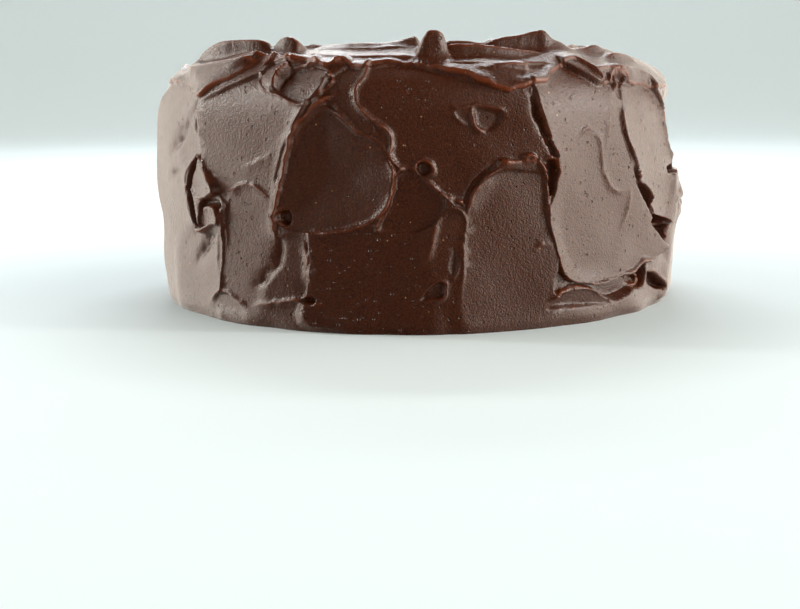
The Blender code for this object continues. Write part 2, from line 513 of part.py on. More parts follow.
# Along the foot: torn hollows, a curl of frosting in one of them, and a low arch at the right
side_press(-43, -2.6, [(-48.4, 5, 2), (-46, 10), (-42.6, 12), (-39.4, 9), (-38, 4, 3)], soft=0.6)
side_ridge(1.1, [(-49, 6), (-46.4, 10.8), (-42.6, 12.8), (-38.8, 9.6), (-36.4, 7.6)], left=0.7, right=0.6)
side_ridge(
    1.3, [(-36, 8), (-32, 10), (-27, 11.8), (-23.4, 12.8), (-20.6, 12.2), (-16, 10.6)], left=0.8, right=1.4
)
side_press(-22, -2.0, [(-23.4, 12), (-21.6, 13.6), (-20.4, 13), (-20.6, 11.6)], flat=0, soft=0.8)
side_press(
    3, -2.4, [(0.5, 14.3), (2, 18), (3.8, 20.7), (4.8, 19.6), (4.7, 15.8), (3.4, 14.4)], flat=0, soft=0.6
)
side_ridge(0.8, [(0.4, 14), (3.6, 13.8), (5.1, 16), (5.1, 20), (3.6, 21.2), (1.4, 17.6)], left=0.5, right=0.7)
side_press(6.4, -1.8, [(6.4, 34), (7.2, 28.6), (6.6, 23.6), (5.9, 26)], flat=0, soft=0.6)
side_ridge(0.6, [(6.5, 34.4), (7.5, 29), (6.9, 23.4), (5.8, 23.4)], left=0.6, right=0.6)
side_press(33, -3.6, [(26.6, 8), (28.4, 12.4), (31.6, 14.6), (36, 14.4), (40, 11), (41.6, 7)], soft=0.6)
side_ridge(
    1.7, [(25.6, 10.8), (28.4, 13.2), (32, 15.2), (36, 15), (39.6, 12), (42.6, 8.6)], left=0.8, right=0.7
)
side_press(
    53, -5.0, [(50, 16.4), (52.6, 20), (55.4, 20.4), (55.4, 14.6), (53.6, 10.8), (50, 11.4)], flat=0, soft=0.6
)
side_ridge(3.0, [(49.6, 13), (51.6, 11.4), (53.8, 12.8), (53.2, 15.6), (51, 15.8)], left=0.8, right=0.8)
side_ridge(1.6, [(45, 17), (50, 18.6), (53.4, 21.8), (57, 21.6), (60.6, 23)], left=0.8, right=1.2)
side_ridge(1.2, [(56.2, 20.4), (56.2, 15.6), (54.8, 11), (52, 9.4)], left=0.8, right=1.0)
side_press(61, -4.6, [(56.8, 16), (59.6, 14), (63, 10.6), (66, 7), (61, 8), (57.6, 11.4)], flat=0.3, soft=0.6)
side_ridge(1.3, [(56.6, 17), (60, 15.2), (64, 11.4), (68, 7.6)], left=0.8, right=0.8)

# Marks on top. Long strokes follow the edge all round but for the front, and a few cross the middle.
top = Frosting(points[:, 0], points[:, 1], swell + 0.6)


def plan(turn_degrees, from_axis):
    a = math.radians(turn_degrees)
    return from_axis * math.sin(a), -from_axis * math.cos(a)


rng = np.random.default_rng(12)
OUTER_STROKES = [(way_round, rng.uniform(86, 99), rng.uniform(7, 11)) for way_round in np.linspace(72, 288, 17)]
OUTER_STROKES += []
INNER_STROKES = [(rng.uniform(-180, 180), rng.uniform(10, 68), rng.uniform(10, 16)) for _ in range(15)]
for turn_degrees, from_axis, half_wide in OUTER_STROKES + INNER_STROKES:
    middle_x, middle_y = plan(turn_degrees + rng.uniform(-5, 5), from_axis)
    way = math.radians(turn_degrees + rng.uniform(-22, 22))
    half_long = rng.uniform(22, 40)
    outline = []
    for spoke in range(8):
        long = half_long * math.cos(spoke * math.pi / 4) * rng.uniform(0.85, 1.15)
        wide = half_wide * math.sin(spoke * math.pi / 4) * rng.uniform(0.8, 1.2)
        out_x = middle_x + long * math.cos(way) - wide * math.sin(way)
        out_y = middle_y + long * math.sin(way) + wide * math.cos(way)
        outline.append((out_x, out_y, rng.uniform(0.6, 3)))
    across = (top.x - middle_x) * math.sin(way) - (top.y - middle_y) * math.cos(way)
    slant = across * rng.uniform(-0.04, 0.04)
    top.press(outline, rng.uniform(-1.0, 1.0) + slant + 0.3 * swell, bowl=rng.uniform(0, 1.2))
    first = rng.integers(0, 4)
    edge = [place[:2] for place in outline[first : first + 5]]
    top.ridge(edge, rng.uniform(0.8, 2.2), left=1.2, right=2.0)


def top_ridge(from_axis, places, left=4.0, right=1.4, **ridge):
    """Draws a ridge up to the heights of the places, each a turn and a height over the board. from_axis is how
    far out it starts and ends."""
    line = []
    for (turn_degrees, height), out in zip(places, np.linspace(*from_axis, len(places))):
        base = np.interp(-out, -profile[:, 0][profile[:, 1] > 60], profile[:, 1][profile[:, 1] > 60])
        line.append((*plan(turn_degrees, out), (height - base) / 0.9))
    top.ridge(line, left=left, right=right, taper=4, **ridge)


# Ridges drawn across the front of the top: at the left, a rounded peak, a long low one that ends in a curl, the
# broad one farther back, and those over the right shoulder
top_ridge(
    (100, 92),
    [(-65, 104), (-58, 107.4), (-54, 110.4), (-50, 113), (-44.3, 113.6), (-40, 113.6), (-37.4, 111)],
    left=7,
)
top_ridge((92, 92), [(-38.6, 111), (-35.8, 114), (-33.2, 114.8), (-31, 113.5), (-29.2, 110)], left=4, right=3)
top_ridge(
    (112, 104), [(-66, 103), (-54.2, 105.3), (-44.7, 106.7), (-36.4, 108.9), (-32, 110.6)], left=3, right=1.6
)
top_ridge((110, 106), [(-54.3, 102.3), (-45.3, 105.4), (-38, 107.4), (-32, 108.6)], left=2.5, right=1.2)
top_ridge(
    (88, 84),
    [(-30.4, 110.4), (-20, 112.1), (-15, 112.6), (-8.4, 112.4), (-4, 113.6), (2.6, 116)],
    left=5,
    right=2.5,
)
top_ridge((83, 84), [(5, 112.9), (13.1, 113), (18.2, 112.2), (20.6, 113.4), (23, 112.6)], left=5, right=2)
BROAD_RIDGE = [(17, 111), (22.5, 113.8), (28.1, 114.8), (32.3, 116.2)]
BROAD_RIDGE += [(34.4, 116.4), (36.8, 113.4), (39.7, 111.6)]
top_ridge((84, 96), BROAD_RIDGE + [(43.5, 108.9), (49.5, 105.7), (54.4, 102.6)], left=6, right=2.4)
top_ridge(
    (92, 98),
    [(38, 109.6), (46.5, 109.7), (50.8, 111), (54.7, 109.6), (63.8, 107.2), (72, 104)],
    left=3,
    right=2,
)
top_ridge((100, 108), [(50, 108), (58.5, 107.3), (64.5, 104.4), (73.3, 101.2), (84, 98)], left=3, right=1.6)
top_ridge((98, 99), [(-29.5, 108.2), (-19, 107.8), (-13, 107.5), (-7.3, 107.6), (1, 107.4)], right=1.0)
top_ridge(
    (93, 97),
    [(5.6, 107), (7.8, 111.6), (13, 111.6), (18.1, 111), (25, 109.2), (33.8, 107.6), (40, 105)],
    right=1.2,
)
top_ridge(
    (96, 94),
    [(-1, 106), (0.9, 111.6), (2.4, 115.4), (4, 117), (5.6, 116.2), (6.6, 112), (7.2, 107)],
    right=2.2,
)
top_ridge((103, 104), [(3, 104), (10, 105), (18, 104.6), (25, 104.6), (32, 104)], left=1.2, right=1.0)
top_ridge((107, 107), [(8, 101.6), (12.5, 103), (16, 103.4), (20, 102.4), (25, 102)], left=1.2, right=1.0)
top_ridge((106, 107), [(14, 103.6), (18, 104.4), (21, 104.4), (24.5, 103.4)], left=2.6, right=0.8)
top_ridge((109, 108), [(36, 104), (41, 102.6), (46, 103.4), (52, 102.6), (58, 101)], left=1.4, right=1.0)

# The rim, where the strokes of the side end under those of the top: its turn, and how far up it runs
RIM = curve_through(
    [
        (-180, 103),
        (-150, 105),
        (-120, 101),
        (-95, 104),
        (-75, 96),
        (-62, 99),
        (-52, 97),
        (-44, 98.5),
        (-40, 105),
        (-36, 112),
        (-26, 112),
        (-18, 111),
        (-12, 112),
        (-5, 112.5),
        (3, 108),
        (8, 103.5),
        (13, 98.5),
        (18, 96.5),
        (22.5, 98),
        (26, 104.5),
        (30.5, 110.5),
        (35, 104.5),
        (39, 98.5),
        (42, 98.5),
        (45, 103.5),
        (49, 101),
        (54, 99),
        (66, 95),
        (95, 103),
        (115, 100),
        (135, 106),
        (158, 101),
        (180, 103),
    ],
    pieces=12,
)
beyond = climb - np.interp(np.degrees(turn), RIM[:, 0], RIM[:, 1])
beyond += 0.4 * ripple(arc, 0 * arc, waves(8, 5, 14))
rim_height = np.clip(0.8 + 0.5 * ripple(arc, 0 * arc, waves(9, 12, 50)), 0, None)
rim_lip = rim_height * np.where(beyond > 0, np.exp(-np.abs(beyond / 3.0) ** 1.5), np.exp(-(beyond**2)))
over = smooth(0.5 + beyond / 2)


def meet_at_back(values):
    """Evens out the step between the two edges of the map of the side, which meet at the back."""
    step = np.zeros(len(row_climb))
    step[row[column == column.max()]] = values[column == column.max()]
    step[row[column == 0]] -= values[column == 0]
    fade = smooth(1 - (math.pi - np.abs(turn)) * SIDE_RADIUS / 15)
    return values - 0.5 * np.sign(turn) * fade * step[row]


height = side.height * (1 - over) + top.height * over + rim_lip

# The foot spreads unevenly where the knife met the board, and the underside stays flat
foot = 1 + 0.5 * ripple(arc, 0 * arc, waves(15, 14, 60))
height += FOOT_FLARE * foot * np.exp(-((climb / FOOT_RISE) ** 2))
height = meet_at_back(height)
underside = row_inset[row] > 0
height[underside] = 0
rise = np.interp(climb, profile_climb, np.gradient(profile[:, 1], profile_climb))
shrink = np.interp(climb, profile_climb, -np.gradient(profile[:, 0], profile_climb))
points[:, 0] += height * rise * np.sin(turn)
points[:, 1] -= height * rise * np.cos(turn)
points[:, 2] = np.clip(points[:, 2] + height * shrink * smooth(climb / FOOT_RISE), 0, None)
for pole in (row == 0, row == row.max()):
    points[pole] = points[pole].mean(0)
worked_mesh.vertices.foreach_set("co", (points * MM).ravel())
worked_mesh.update()

# Close the seam at the back and both poles, and keep the faces where the frosting is most uneven
closed = bmesh.new()
closed.from_mesh(worked_mesh)
bmesh.ops.remove_doubles(closed, verts=[v for v in closed.verts if v.is_boundary], dist=1e-6)
bmesh.ops.recalc_face_normals(closed, faces=closed.faces[:])
triangles = sum(len(face.verts) - 2 for face in closed.faces)
closed.to_mesh(worked_mesh)
closed.free()
worked = bpy.data.objects.new("worked_frosting", worked_mesh)
bpy.context.scene.collection.objects.link(worked)
thin_out = worked.modifiers.new("thin_out", "DECIMATE")
thin_out.ratio = TRIANGLES / triangles
bpy.context.view_layer.update()
cake_mesh = bpy.data.meshes.new_from_object(worked.evaluated_get(bpy.context.evaluated_depsgraph_get()))
bpy.data.objects.remove(worked)
for vertex in cake_mesh.vertices:
    if vertex.co.z < 0.4 * MM:
        vertex.co.z = 0
cake_mesh.shade_smooth()

frosting = bpy.data.materials.new("chocolate_frosting")
frosting.use_nodes = True
shader = frosting.node_tree.nodes["Principled BSDF"]
shader.inputs["Base Color"].default_value = FROSTING_COLOUR
shader.inputs["Roughness"].default_value = FROSTING_ROUGHNESS
shader.inputs["Metallic"].default_value = 0.0
cake_mesh.materials.clear()
cake_mesh.materials.append(frosting)

cake = bpy.data.objects.new("frosted_cake", cake_mesh)
layer_cake = bpy.data.collections.new("layer_cake")
bpy.context.scene.collection.children.link(layer_cake)
layer_cake.objects.link(cake)
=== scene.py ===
"""The looks of a whole layer cake under knife-swirled chocolate frosting, on the model of its solid."""

import math

import bmesh
import bpy
import numpy as np
from mathutils import Matrix, Vector


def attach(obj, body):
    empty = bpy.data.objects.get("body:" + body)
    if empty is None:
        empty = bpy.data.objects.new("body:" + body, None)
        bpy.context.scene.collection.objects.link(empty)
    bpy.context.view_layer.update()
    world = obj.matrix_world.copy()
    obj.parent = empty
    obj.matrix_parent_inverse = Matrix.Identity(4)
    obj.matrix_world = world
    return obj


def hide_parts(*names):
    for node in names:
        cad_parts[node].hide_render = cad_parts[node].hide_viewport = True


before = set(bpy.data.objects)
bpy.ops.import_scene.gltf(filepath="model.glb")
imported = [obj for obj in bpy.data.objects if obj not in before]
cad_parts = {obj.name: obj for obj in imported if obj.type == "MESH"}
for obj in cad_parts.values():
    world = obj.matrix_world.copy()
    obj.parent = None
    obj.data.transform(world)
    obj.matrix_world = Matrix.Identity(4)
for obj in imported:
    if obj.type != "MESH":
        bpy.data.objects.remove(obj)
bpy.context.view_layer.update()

# The frosted cake. It is baked layers under one coat of soft chocolate frosting, spread round a turned
# shape with a long knife. All sizes here are in millimetres. A place on the side is a turn in degrees from
# the front and a height over the board. The climb is the way up the side and on over the shoulder.
MM = 0.001
SIDE_RADIUS = 118.0
BASE_RADIUS = 114.0
TOP_HEIGHT = 111.8
ARC_PER_DEGREE = SIDE_RADIUS * math.pi / 180
FINEST_STEP = 0.56
MOST_TRIANGLES = 196000


def smooth(t):
    """Runs from 0 to 1 with no corner at either end."""
    t = np.clip(t, 0.0, 1.0)
    return t * t * (3.0 - 2.0 * t)


def curve_through(points, pieces):
    """A smooth line through the points, with so many pieces between two of them."""
    p = np.asarray(points, float)
    p = np.vstack([2 * p[0] - p[1], p, 2 * p[-1] - p[-2]])
    line = []
    for a, b, c, d in zip(p, p[1:], p[2:], p[3:]):
        for t in np.linspace(0, 1, pieces, endpoint=False):
            bend = 2 * a - 5 * b + 4 * c - d
            twist = 3 * b - a - 3 * c + d
            line.append(0.5 * (2 * b + (c - a) * t + bend * t**2 + twist * t**3))
    line.append(p[-2])
    return np.array(line)


def waves(seed, shortest, longest, count=12):
    """Random flat waves, each with a length between the two, in millimetres."""
    rng = np.random.default_rng(seed)
    way = rng.uniform(0, 2 * math.pi, count)
    length = shortest * (longest / shortest) ** rng.uniform(0, 1, count)
    return np.stack([np.cos(way) / length, np.sin(way) / length, rng.uniform(0, 1, count)], 1)


def ripple(x, y, flat_waves):
    """The sum of the waves at each place, mostly between -1 and 1."""
    total = np.zeros_like(x)
    for along_x, along_y, start in flat_waves:
        total += np.sin(2 * math.pi * (along_x * x + along_y * y + start))
    return total / (1.6 * math.sqrt(len(flat_waves) / 2))


HAND_WOBBLE = waves(3, 9, 40)
HAND_WANDERS = 0.35
LIP_CHANGE = waves(7, 4, 14)
LIP_UNEVEN = 0.2
TORN_EDGE = waves(5, 1.8, 6.0)
TEAR_REACH = 0.3
SHARPEST_BLUR = 0.3
THIN_CREST = 0.5


def along_line(line, x, y):
    """Each place's distance from a line, positive on its left, how far along it is, and which way left is."""
    nearest = np.full(x.shape, 1e9)
    left = np.zeros_like(x)
    along = np.zeros_like(x)
    way_x = np.zeros_like(x)
    way_y = np.zeros_like(x)
    for i, (start, end) in enumerate(zip(line, line[1:])):
        run_x, run_y = end[:2] - start[:2]
        length = math.hypot(run_x, run_y) + 1e-9
        from_x = x - start[0]
        from_y = y - start[1]
        t = np.clip((from_x * run_x + from_y * run_y) / length**2, 0, 1)
        off = np.hypot(from_x - t * run_x, from_y - t * run_y)
        closer = off < nearest
        nearest[closer] = off[closer]
        along[closer] = i + t[closer]
        turned = run_x * from_y[closer] - run_y * from_x[closer]
        left[closer] = np.copysign(off[closer], turned)
        way_x[closer] = -run_y / length
        way_y[closer] = run_x / length
    return left, along, way_x, way_y


def within(line, x, y):
    """Whether each place is inside a closed line."""
    inside = np.zeros(x.shape, bool)
    for start, end in zip(line, line[1:]):
        if start[1] != end[1]:
            crossed = (start[1] > y) != (end[1] > y)
            crossing = start[0] + (end[0] - start[0]) * (y - start[1]) / (end[1] - start[1])
            inside ^= crossed & (x < crossing)
    return inside


class Frosting:
    """The height of the frosting over its turned shape, and how far it leans over, on a flat map of it."""

    def __init__(self, x, y, height):
        self.x = x
        self.y = y
        self.height = height.copy()
        self.lean_x = np.zeros_like(height)
        self.lean_y = np.zeros_like(height)
        self.thin = np.zeros_like(height)

    def near(self, line, margin):
        low = line[:, :2].min(0) - margin
        high = line[:, :2].max(0) + margin
        return (self.x > low[0]) & (self.x < high[0]) & (self.y > low[1]) & (self.y < high[1])

    def press(self, outline, floor, bowl=0.0, soft=0.5, torn=0.0):
        """Flattens the frosting inside an outline to the floor, a height at each place. The middle lies lower
        by bowl, and the edge is blurred over soft, or over the third number of the outline's points."""
        line = curve_through([tuple(p) + (soft,) * (3 - len(p)) for p in [*outline, outline[0]]], 6)
        near = self.near(line, line[:, 2].max() + 3)
        x = self.x[near] + HAND_WANDERS * ripple(self.x[near] + 7, self.y[near], HAND_WOBBLE)
        y = self.y[near] + HAND_WANDERS * ripple(self.y[near], self.x[near] + 11, HAND_WOBBLE)
        if torn:
            x += TEAR_REACH * torn * ripple(self.x[near], self.y[near], TORN_EDGE)
            y += TEAR_REACH * torn * ripple(self.y[near], self.x[near], TORN_EDGE)
        left, along, _, _ = along_line(line, x, y)
        depth_in = np.where(within(line, x, y), 1, -1) * np.abs(left)
        blur = np.interp(along, range(len(line)), np.clip(line[:, 2], SHARPEST_BLUR, None))
        inside = smooth(0.5 + depth_in / (2 * blur))
        new = floor[near] - bowl * smooth(depth_in / depth_in.max(initial=1))
        self.height[near] += (new - self.height[near]) * inside
        self.lean_x[near] *= 1 - inside
        self.lean_y[near] *= 1 - inside
        self.thin[near] *= 1 - inside

    def ridge(
        self,
        points,
        high=None,
        left=0.8,
        right=0.8,
        groove=0.0,
        groove_wide=1.4,
        lean=0.0,
        torn=0.0,
        taper=10,
        wobble=0.3,
    ):
        """Leaves a ridge along a curve, with its own width on each side. groove is a ditch on its left, and
        lean is how far it tips over that side. wobble is how far the hand strayed from the curve. It runs out
        over taper pieces at both ends. Without high, the points' third number is the height it rises to."""
        line = curve_through(points, 8)
        near = self.near(line, 3 * max(left, right, groove_wide) + 2)
        x = self.x[near] + wobble * ripple(self.x[near], self.y[near], LIP_CHANGE)
        y = self.y[near] + wobble * ripple(self.y[near], self.x[near], LIP_CHANGE)
        off, along, way_x, way_y = along_line(line, x, y)
        pieces = len(line) - 1
        ends = min(taper, pieces / 2)
        strength = smooth(along / ends) * smooth((pieces - along) / ends)
        if torn:
            strength *= np.clip(1 + 0.8 * torn * ripple(x, y, TORN_EDGE), 0, None)
        shape = np.exp(-np.abs(off / np.where(off > 0, left, right)) ** 1.6)
        if high is None:
            crest_height = np.interp(along, range(len(line)), line[:, 2])
            rise = np.clip(crest_height - self.height[near], 0, None) * shape
        else:
            rise = high * (1 + LIP_UNEVEN * ripple(x + 9, y - 4, LIP_CHANGE)) * shape
        rise -= groove * smooth(off / left) * np.exp(-(((off - left - 0.5 * groove_wide) / groove_wide) ** 2))
        self.height[near] += strength * rise
        pull = lean * strength * np.exp(-((off / (1.2 * max(left, right))) ** 2))
        self.lean_x[near] += way_x * pull
        self.lean_y[near] += way_y * pull
        crest = 0.8 * strength * np.exp(-((off / THIN_CREST) ** 2)) * smooth(rise / 2)
        self.thin[near] = np.maximum(self.thin[near], crest)


# The turned shape, from the foot to the middle of the top
profile = curve_through(
    [
        (BASE_RADIUS, 0),
        (SIDE_RADIUS - 1.6, 5),
        (SIDE_RADIUS - 0.7, 15),
        (SIDE_RADIUS, 35),
        (SIDE_RADIUS + 0.4, 55),
        (SIDE_RADIUS + 0.2, 72),
        (SIDE_RADIUS - 0.6, TOP_HEIGHT - 27.8),
        (SIDE_RADIUS - 2.6, TOP_HEIGHT - 20.3),
        (SIDE_RADIUS - 6, TOP_HEIGHT - 14.3),
        (SIDE_RADIUS - 11.5, TOP_HEIGHT - 9.5),
        (SIDE_RADIUS - 19, TOP_HEIGHT - 6),
        (SIDE_RADIUS - 30, TOP_HEIGHT - 3.2),
        (70, TOP_HEIGHT - 1.5),
        (40, TOP_HEIGHT - 0.4),
        (12, TOP_HEIGHT - 0.1),
        (0, TOP_HEIGHT),
    ],
    pieces=24,
)
profile_climb = np.concatenate([[0], np.cumsum(np.hypot(*np.diff(profile, axis=0).T))])


def steps_from_zero(end, step_at):
    """Values from 0 to end, each a step from the last."""
    values = [0.0]
    while values[-1] < end:
        values.append(values[-1] + step_at(values[-1]))
    return np.array(values) * end / values[-1]


def turn_step(degrees):
    """Fine all over the front half, and coarser behind."""
    return FINEST_STEP / ARC_PER_DEGREE * (1 + 0.8 * float(smooth((degrees - 90) / 20)))


def climb_step(way_up):
    """Fine up the side and over the shoulder, and coarser on the flat of the top."""
    return FINEST_STEP * (1 + 3 * float(smooth((way_up - 135) / 40)))


UNDERSIDE_ROWS = 4
half_turn = steps_from_zero(180, turn_step)
column_turn = np.radians(np.concatenate([-half_turn[:0:-1], half_turn]))
row_climb = steps_from_zero(profile_climb[-1], climb_step)
row_inset = np.concatenate([np.linspace(BASE_RADIUS, 12, UNDERSIDE_ROWS), np.zeros(len(row_climb))])
row_climb = np.concatenate([np.zeros(UNDERSIDE_ROWS), row_climb])

sheet = bmesh.new()
bmesh.ops.create_grid(sheet, x_segments=len(column_turn) - 1, y_segments=len(row_climb) - 1, size=0.5)
cake_mesh = bpy.data.meshes.new("chocolate_frosting")
sheet.to_mesh(cake_mesh)
sheet.free()
flat = np.empty(len(cake_mesh.vertices) * 3)
cake_mesh.vertices.foreach_get("co", flat)
flat = flat.reshape(-1, 3) + 0.5
column = np.rint(flat[:, 0] * (len(column_turn) - 1)).astype(int)
turn = column_turn[column]
row = np.rint(flat[:, 1] * (len(row_climb) - 1)).astype(int)
climb = row_climb[row]
radius = np.interp(climb, profile_climb, profile[:, 0]) - row_inset[row]
height_at_rest = np.interp(climb, profile_climb, profile[:, 1])
points = np.stack([radius * np.sin(turn), -radius * np.cos(turn), height_at_rest], 1)
arc = turn * SIDE_RADIUS

# Slow lumps of the hand-spread coat, the same from every side
SWELL = 0.55
lump_x, lump_y, lump_z = points.T
swell = SWELL * ripple(lump_x + 0.6 * lump_z, lump_y + 0.3 * lump_z, waves(6, 30, 80))
swell += SWELL * ripple(lump_x - 0.5 * lump_z, lump_y - 0.8 * lump_z, waves(16, 30, 80))

# Marks on the side, oldest first. Each overlies the ones before it. A mark is an outline of places, each a
# turn, a height and if need be how soft the edge is there, and a floor that is nearly flat and faces one way.
MID_SIDE = 55
FLOOR_REACH = 0.7
side = Frosting(arc, climb, swell)
slow_bend = 0.35 * swell + 0.05 * ripple(arc, climb, waves(41, 9, 30))


def on_side(places):
    """Places on the side as places on its flat map."""
    climbs = np.interp([place[1] for place in places], profile[:, 1], profile_climb)
    return [(place[0] * ARC_PER_DEGREE, up, *place[2:]) for place, up in zip(places, climbs)]


def side_press(face, depth, outline, flat=0.85, up=0.0, **mark):
    """Presses a floor that faces a turn in degrees and is deepest there. flat is 0 for one as round as the
    cake and 1 for a flat one, and up makes it rise with height."""
    away = np.clip(turn - math.radians(face), -FLOOR_REACH, FLOOR_REACH)
    pressed = depth + flat * SIDE_RADIUS * (1 / np.cos(away) - 1) + up * (climb - MID_SIDE) / 10 + slow_bend
    side.press(on_side(outline), pressed, **mark)


def side_ridge(high, places, **ridge):
    """Leaves a ridge on the side, or a furrow where high is negative."""
    side.ridge(on_side(places), high, **ridge)


# Round the back: three courses of broad strokes, each a little different, with a lip along part of its edge
rng = np.random.default_rng(31)
for course_height, half_high in ((24, 24), (76, 21), (50, 21)):
    for stroke in range(9):
        middle = 84 + 192 * (stroke + rng.uniform(0.25, 0.75)) / 9
        middle_height = course_height + rng.uniform(-4, 4)
        half_wide = rng.uniform(9, 14)
        outline = []
        for spoke in range(8):
            a = spoke * math.pi / 4
            reach = rng.uniform(0.75, 1.2)
            stroke_height = min(max(middle_height + half_high * reach * math.sin(a), 1), 100)
            outline.append((middle + half_wide * reach * math.cos(a), stroke_height, rng.uniform(0.5, 3)))
        face = middle + rng.uniform(-6, 6)
        depth = rng.uniform(-1.6, -0.4)
        bowl = rng.uniform(0, 0.8)
        lip = rng.uniform(0.6, 1.5)
        first = rng.integers(0, 5)
        for full_turn in (0, 360):
            turned = [(place[0] - full_turn, *place[1:]) for place in outline]
            side_press(face - full_turn, depth, turned, flat=0.45, bowl=bowl)
            side_ridge(lip, [place[:2] for place in turned[first : first + 4]], left=1.6, right=0.7)

# Far left: broad flat strokes, with soft hollows between them
side_press(-88, -1.2, [(-104, 3, 6), (-74, 3, 6), (-72, 50, 6), (-73, 92, 5), (-104, 96, 6)], flat=0.3)
UPPER_LEFT = [(-103, 74), (-99, 91), (-90, 97, 2), (-79, 93, 3)]
UPPER_LEFT += [(-73, 78, 3), (-76, 60, 2), (-87, 53), (-98, 58)]
side_press(-86, -1.6, UPPER_LEFT, flat=0.3, bowl=0.4)
side_ridge(0.8, [(-77, 60), (-87, 53.4), (-98, 58), (-102.6, 72), (-99.6, 88)], left=1.6, right=0.7)
LOWER_LEFT = [(-105, 20, 3), (-102, 40), (-94, 52), (-84, 50, 2)]
LOWER_LEFT += [(-76, 36, 3), (-74, 14, 4), (-80, 1, 4), (-102, 1, 4)]
side_press(-91, -1.9, LOWER_LEFT, flat=0.35, bowl=0.5)
side_ridge(0.8, [(-104.4, 24), (-102, 40), (-94, 52), (-84, 50.4), (-78, 42)], left=0.7, right=1.6)
FAR_LEFT = [(-72, 0, 3), (-75, 18, 2), (-73, 36, 2), (-76, 52, 2)]
FAR_LEFT += [(-74.6, 72), (-73.6, 91), (-64, 98), (-56, 98)]
FAR_LEFT += [(-51, 94), (-49.4, 84), (-48, 72), (-49, 66)]
side_press(-60, -1.5, FAR_LEFT + [(-54, 58, 3), (-54, 50, 3), (-52, 37, 3), (-46, 20, 3), (-50, 0)], soft=2)
side_press(
    -57, -1.6, [(-50, 90), (-52, 86, 2), (-57, 74, 3), (-56, 64, 4), (-53, 61), (-49, 68), (-48, 76)], soft=1
)
side_ridge(-1.5, [(-52.5, 85), (-56, 77), (-59, 72), (-65, 65)], left=1.6, right=3)
side_ridge(-0.9, [(-66, 57), (-61, 59), (-56, 58)], left=2, right=2)
side_ridge(1.3, [(-50.2, 90), (-49, 82), (-47.9, 74), (-47.9, 67)], left=1.4, right=0.6)
side_ridge(0.8, [(-50.8, 86), (-50.6, 80), (-50.6, 76)], left=0.6)

# Left: a wide field, then the pale folded strokes below it
PATCH_2 = [(-49.2, 88), (-46, 91), (-42, 94.5), (-38, 97.5), (-34, 100), (-30, 95), (-25, 92), (-20.8, 90)]
PATCH_2 += [(-23, 82), (-26, 72), (-28, 60), (-28.6, 52), (-33, 50)]
PATCH_2 += [(-40, 49), (-43, 53), (-46.5, 62), (-48, 70)]
side_press(-37, -1.3, PATCH_2, flat=0.9)
side_ridge(0.4, [(-38, 64.5), (-34, 65.5), (-30, 69), (-27, 74)], right=3)
LEFT_FOLD = [(-64, 0, 6), (-62, 28, 6), (-54, 37, 4), (-50, 36)]
LEFT_FOLD += [(-47, 38), (-43.5, 41), (-42.2, 34), (-43, 24)]
side_press(-53, -2.4, LEFT_FOLD + [(-44.5, 14), (-47, 0, 4)], flat=1.0)
side_ridge(-2.0, [(-43.8, 40), (-47, 34), (-51, 27), (-56, 20)], left=2.0, right=2.6)
side_ridge(0.5, [(-43.4, 41), (-43.6, 34), (-44.4, 26), (-45, 16)], left=0.9, right=2.4)

# The arched stroke left of the dish, and the soft columns beside it
ARCH_A = [(-40.3, 50), (-38.8, 54.5), (-36.5, 57), (-34, 57.2)]
ARCH_A += [(-31, 55.2), (-28.8, 51), (-28.4, 43), (-28, 36, 2)]
ARCH_A += [(-28.5, 26, 3), (-31, 18, 4), (-34, 3, 5), (-44, 3, 5), (-43.5, 16), (-42.3, 30), (-41.2, 42)]
side_press(-37, -1.5, ARCH_A)
side_ridge(
    1.1, [(-28.7, 50), (-31, 55), (-34, 57.4), (-36.8, 57.3), (-39, 54.6), (-40.4, 50.5)], left=2.2, right=0.6
)
side_ridge(0.8, [(-41, 50), (-42, 47), (-41.4, 43), (-41.2, 36), (-42.2, 27)], right=1.2)
side_press(
    -26, -1.0, [(-28, 37), (-22, 38.5), (-21.6, 25), (-22.3, 3, 5), (-34, 3, 5), (-29, 24, 3)], flat=0.2
)
side_ridge(-1.8, [(-27, 39), (-27.4, 32), (-29, 25), (-32, 19), (-36, 16)], left=1.4, right=3.2)
side_ridge(1.5, [(-22, 39.5), (-21.7, 32), (-21.6, 24), (-22, 16)], left=0.6, right=1.8)

# The low field in the middle, with a soft column on its right
LOW_FIELD = [(-21.2, 39.5), (-15, 40.3), (-10, 42.5), (-6.5, 41), (-2, 40)]
LOW_FIELD += [(1.5, 43), (3.6, 49), (6, 53), (8.6, 47)]
side_press(
    -6, -1.7, LOW_FIELD + [(8.8, 28), (8.6, 3, 5), (-21.4, 3, 5), (-21.6, 17), (-21, 28)], flat=0.7, up=-0.1
)
side_press(
    7,
    -0.9,
    [(3.4, 50, 1.5), (2.6, 38, 2), (2.4, 24, 3), (4, 3, 4), (8.4, 3, 4), (8.3, 28), (8.6, 46)],
    flat=0.2,
)
side_ridge(0.8, [(3.9, 51), (3.5, 45), (2.8, 38), (1.8, 31), (-1, 25)], left=1.2, right=3.5)
side_ridge(0.7, [(8.9, 47), (8.5, 36), (8.4, 22), (8.4, 3)], left=1.6, right=1.6)
side_ridge(-0.8, [(-17, 14), (-10, 17), (-5, 22), (-1.5, 30)], left=5, right=4)

